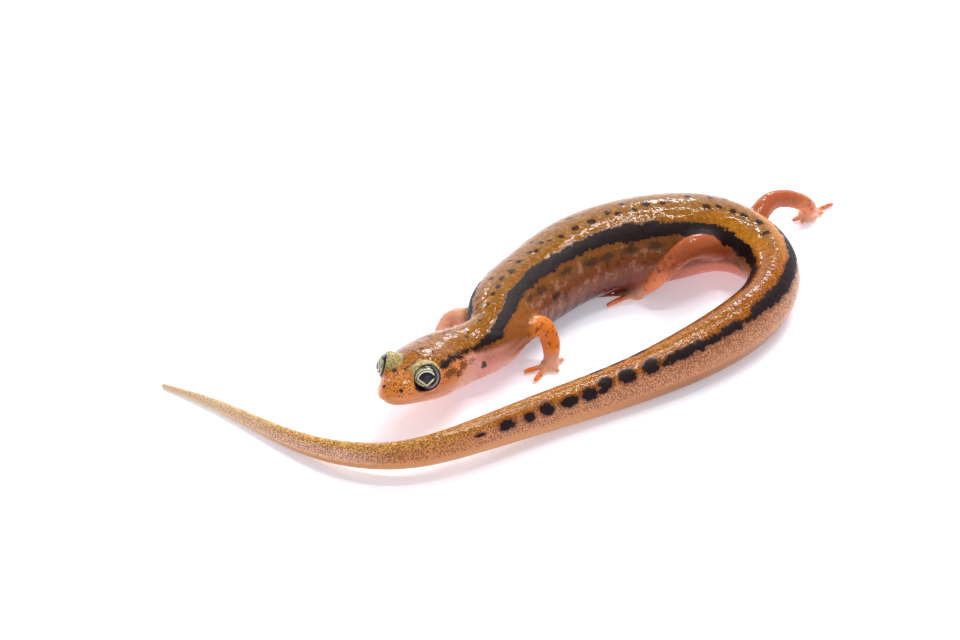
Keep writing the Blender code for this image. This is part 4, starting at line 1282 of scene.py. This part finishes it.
widened = m_depth - 0.10 + m_along.step(10.0, 15.0) * 0.22 - m_along.step(49.0, 56.0) * 0.27
widened = widened + (ragged - 0.5) * 1.2
skin_depth = widened.high((0.92 - blotch) * 0.6 + (ragged - 0.5) * 0.6) + (grain - 0.5) * 0.5
stripe_reach = skin_depth.step(-0.26, 0.20)
near_stripe = m_depth.step(-1.2, 0.0) * m_below.step(0.0, 0.2) + blotch.step(1.8, 1.0) * 0.5
ground_reach = 0.26 + on_tail * 0.22 - on_tip * 0.20
ground_reach = ground_reach + on_head * m_up.step(0.0, 1.0) * 0.15
ground_reach = ground_reach - m_turn.step(86.0, 114.0) * 0.34 - on_head * m_up.step(0.7, -0.2) * 0.22
ground_reach = ground_reach + near_stripe * 0.12 * on_tail + cheek_clouds.step(1.3, 0.4) * 0.45
ground_reach = ground_reach * (1.0 - 0.75 * m_limb)
reach = (ground_reach + stripe_reach * 0.95).high(0.0)
pigment = (reach - cell_distance).step(-0.05, 0.06)
in_stripe = stripe_reach.step(0.45, 0.85)

print("reach of the pigment in", len(make.tree.nodes), "nodes")

# %% [markdown]
# ## Lids, relief and wet gloss
# Dark pigment goes on last, then the flecked lids, then painted shade in the eye sockets and nostrils. A Bump node
# lifts a fine grain, which breaks the shine into short glints, and low roughness makes the skin look wet.

# %% Pigment, lids and gloss
PIGMENT = (0.085, 0.024, 0.006)
PLUM = (0.13, 0.045, 0.032)
RUST = (0.50, 0.135, 0.006)
BLACK = (0.011, 0.001, 0.001)
rust = skin_depth.step(-0.9, -0.15) * m_below.step(0.5, 0.0) * on_tail
ground = make.blend(rust * 0.75, ground, RUST)
dot_colour = make.blend(m_below.step(-0.1, 0.3) * on_tail, PIGMENT, PLUM)
ink = make.blend(in_stripe, dot_colour, BLACK)
ground = make.blend(pigment * (0.50 + 0.50 * in_stripe + 0.22 * on_tail + 0.32 * on_head).low(1.0), ground, ink)
ground = make.blend(dots.step(1.15, 0.65) * not_limb * 0.9, ground, (0.022, 0.010, 0.008))

lid_fleck = make.noise(7.5, 2.0, 0.7, 4.1)
LID_OLIVE, LID_CREAM, LID_DARK = (0.40, 0.30, 0.085), (0.76, 0.68, 0.42), (0.12, 0.07, 0.02)
lid_colour = make.blend(lid_fleck.step(0.54, 0.62) * 0.75, LID_OLIVE, LID_CREAM)
lid_colour = make.blend(lid_fleck.step(0.45, 0.37) * 0.8, lid_colour, LID_DARK)
ground = make.blend(m_lid * m_up.step(1.3, 1.9), ground, lid_colour)
# painted shade: the walls of the eye sockets and the nostrils are painted near black
ground = make.blend(m_socket, ground, (0.02, 0.01, 0.01))

on_front = m_along.step(19.0, 14.0)
swell = make.noise(1.3, 2.0, 0.5, 3.3)
relief = make.node("ShaderNodeBump", {}, {"Strength": 1.0, "Distance": 0.00004,
                                          "Height": grain * (0.2 + 0.15 * on_head + 0.45 * on_tail) + swell * (1.7 + 0.9 * on_front + 0.8 * m_limb)})
skin_material = make.finish({
    "Base Color": ground, "Roughness": 0.065 + stripe_reach * 0.5, "Normal": relief.outputs[0],
    "Subsurface Weight": 0.12, "Subsurface Radius": (1.0, 0.30, 0.15), "Subsurface Scale": 0.0004,
    "Specular IOR Level": 0.22,
})
skin.data.materials.append(skin_material)
print("skin nodes:", len(make.tree.nodes))

# %% [markdown]
# ## Iris and pupil
# All shapes lie in the two coordinates across the gaze, with the eyeball's radius as the unit.
# The pupil is the space under an arch and above two slanting lines, which makes a rounded
# triangle that points down. Everything else follows the distance from the pupil's edge:
# a cream ring, a thin brown one, gold with stipple, and last a black ring round the iris.
# Over these lie a painted shadow of the upper lid across the top of the iris and a painted
# reflection in part of the pupil.

# %% Eye material
make = Maker("eye")
across = make.attribute("iris_across")
tall = make.attribute("iris_up")
out = make.attribute("iris_out")
fleck = make.noise(8.0, 3.0, 0.7)
fine_fleck = make.noise(14.0, 2.0, 0.6, 1.7)


def from_point(x, y):
    """Distance from a point across the gaze."""
    shift_x = across - x
    shift_y = tall - y
    return (shift_x * shift_x + shift_y * shift_y) ** 0.5


arch = 0.63 - from_point(0.15, -0.52)
low_left = 0.54 * (across + 0.44) + 0.84 * (tall + 0.32)
low_right = -0.70 * (across - 0.12) + 0.714 * (tall + 0.69)
inside = make.maths("SMOOTH_MIN", make.maths("SMOOTH_MIN", arch, low_left, 0.10), low_right, 0.10)
outside = 0.0 - inside + (fleck - 0.5) * 0.04
ring = from_point(-0.07, -0.13)

CREAM = (0.80, 0.76, 0.54)
OLIVE = (0.30, 0.25, 0.10)
UMBER = (0.045, 0.030, 0.016)
VIOLET = (0.13, 0.11, 0.15)
iris = make.blend(fleck.step(0.42, 0.60), UMBER, OLIVE)
iris = make.blend(fine_fleck.step(0.52, 0.60), iris, CREAM)
iris = make.blend(abs(outside - 0.25).step(0.06, 0.02) * 0.8, iris, CREAM)
iris = make.blend(abs(outside - 0.165).step(0.04, 0.015), iris, UMBER)
iris = make.blend(abs(outside - 0.085).step(0.065, 0.035), iris, CREAM)
# painted shadow of the upper lid: the top of the iris darkened to umber
iris = make.blend(tall.step(0.34, 0.50) * 0.9, iris, UMBER)
iris = make.blend((ring + (fleck - 0.5) * 0.03).step(0.69, 0.73), iris, (0.010, 0.008, 0.008))
rim = make.blend(across.step(-0.2, 0.5), (0.16, 0.12, 0.07), VIOLET)
iris = make.blend(ring.step(0.84, 0.88), iris, rim)
# painted reflection: the inner lower right of the pupil is a dim blue-grey instead of black
pupil_sheen = make.blend(inside.step(0.05, 0.30) * (across - tall).step(-0.2, 0.5), (0.004, 0.004, 0.005), (0.045, 0.045, 0.085))
iris = make.blend(outside.step(0.035, 0.0), iris, pupil_sheen)
iris = make.blend(out.step(0.10, 0.0), iris, (0.25, 0.12, 0.09))
eye_material = make.finish({
    "Base Color": iris, "Roughness": 0.35, "Coat Weight": 1.0, "Coat Roughness": 0.015, "Coat IOR": 1.40,
    "Specular IOR Level": 0.10,
})
for eye in eyes:
    eye.data.materials.append(eye_material)
print("eye nodes:", len(make.tree.nodes))

# %% [markdown]
# ## Taking the solids' place
# The skin stands in for every node of flesh and each eyeball for its own node, and all
# ride on the one body that the part has.

# %% Riding and replacing
FLESH = ("head", "neck", "torso_front", "torso_middle", "torso_rear", "tail_base", "tail_middle", "tail_rear",
         "tail_tip", "arm_left_upper", "arm_left_lower", "hand_left", "arm_right_upper", "arm_right_lower",
         "hand_right", "leg_left_thigh", "leg_left_shank", "foot_left", "leg_right_thigh", "leg_right_shank",
         "foot_right")
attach(skin, "root")
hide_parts(*FLESH)
for eye, node in zip(eyes, ("eye_left", "eye_right")):
    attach(eye, "root")
    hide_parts(node)

# %% [markdown]
# ## The floor
# A pale floor lies under the animal. The bright room, the two long soft lights overhead that give
# the two thin strips of shine along the back, and a third light from the left behind that puts the glint in the eye
# follow in the next cell.

# %% Stage
floor_mesh = bpy.data.meshes.new("floor")
floor_mesh.from_pydata([(-2.0, -2.0, 0.0), (2.0, -2.0, 0.0), (2.0, 2.0, 0.0), (-2.0, 2.0, 0.0)], [], [(0, 1, 2, 3)])
floor = bpy.data.objects.new("floor", floor_mesh)
bpy.context.scene.collection.objects.link(floor)
paper = Maker("paper")
floor_mesh.materials.append(paper.finish({"Base Color": (0.90, 0.91, 0.96), "Roughness": 0.9,
                                          "Specular IOR Level": 0.1, "Emission Strength": 0.33,
                                          "Emission Color": (0.88, 0.91, 1.0)}))
print("floor:", floor.name)

# %% [markdown]
# ## Lamps and camera
# Two long narrow lamps overhead give the two thin strips of shine along the back. Small lamps
# behind put the glint in the eye, and a wide pale panel lightens the far side. The camera looks
# down at 35 degrees from in front.

# %% Lamps and camera
world = bpy.data.worlds.new("room")
world.use_nodes = True
world.node_tree.nodes["Background"].inputs["Color"].default_value = (0.90, 0.92, 1.0, 1.0)
world.node_tree.nodes["Background"].inputs["Strength"].default_value = 0.55
bpy.context.scene.world = world
bpy.context.scene.view_settings.view_transform = "Standard"


def area_light(name, place, aim, size, power, colour):
    """A rectangular soft light at a place, turned towards an aim; sizes in metres, power in watts."""
    lamp = bpy.data.lights.new(name, "AREA")
    lamp.shape = "RECTANGLE"
    lamp.size, lamp.size_y = size
    lamp.energy = power
    lamp.color = colour
    thing = bpy.data.objects.new(name, lamp)
    direction = unit(np.array(aim, float) - np.array(place, float))
    right = unit(np.array([1.0, 0.0, 0.0]) - direction[0] * direction)
    matrix = np.eye(4)
    matrix[:3, :3] = np.stack((right, np.cross(right, direction), -direction), axis=1)
    matrix[:3, 3] = place
    thing.matrix_world = mathutils.Matrix(matrix.tolist())
    bpy.context.scene.collection.objects.link(thing)
    return thing


WARM, COOL = (1.0, 0.99, 0.97), (0.97, 0.98, 1.0)
# Each row: name, place, aim, size, power, colour
LAMPS = (
    ("strip_front", (0.135, 0.035, 0.40), (0.0, 0.0, 0.0), (0.16, 0.019), 0.50, WARM),
    ("strip_back", (0.105, 0.172, 0.37), (0.0, 0.0, 0.0), (0.18, 0.018), 0.52, WARM),
    ("patch_right", (0.072, 0.095, 0.385), (0.0, 0.0, 0.0), (0.026, 0.026), 0.115, WARM),
    ("patch_left", (0.004, 0.182, 0.352), (0.0, 0.0, 0.0), (0.030, 0.030), 0.15, WARM),
    ("patch_front", (-0.105, 0.21, 0.35), (-0.01, 0.0, 0.0), (0.04, 0.026), 0.11, WARM),
    ("window", (0.065, 0.38, 0.235), (0.0, 0.0, 0.0), (0.10, 0.06), 0.34, COOL),
    ("backdrop", (0.0, 0.62, 0.21), (0.0, 0.0, 0.06), (1.00, 0.50), 1.8, COOL),
    ("side", (-0.20, 0.33, 0.16), (0.0, 0.0, 0.0), (0.05, 0.04), 0.10, WARM),
)
lamps = [area_light(*row) for row in LAMPS]
print("lamps:", [lamp.name for lamp in lamps])

camera_data = bpy.data.cameras.new("camera")
camera_data.sensor_width = 36.0
camera_data.lens = 152.2
camera_data.clip_start = 0.01
camera = bpy.data.objects.new("camera", camera_data)
camera.location = (-0.00225, -0.26787, 0.18928)
camera.rotation_euler = (math.radians(55.0), 0.0, 0.0)
bpy.context.scene.collection.objects.link(camera)
bpy.context.scene.camera = camera
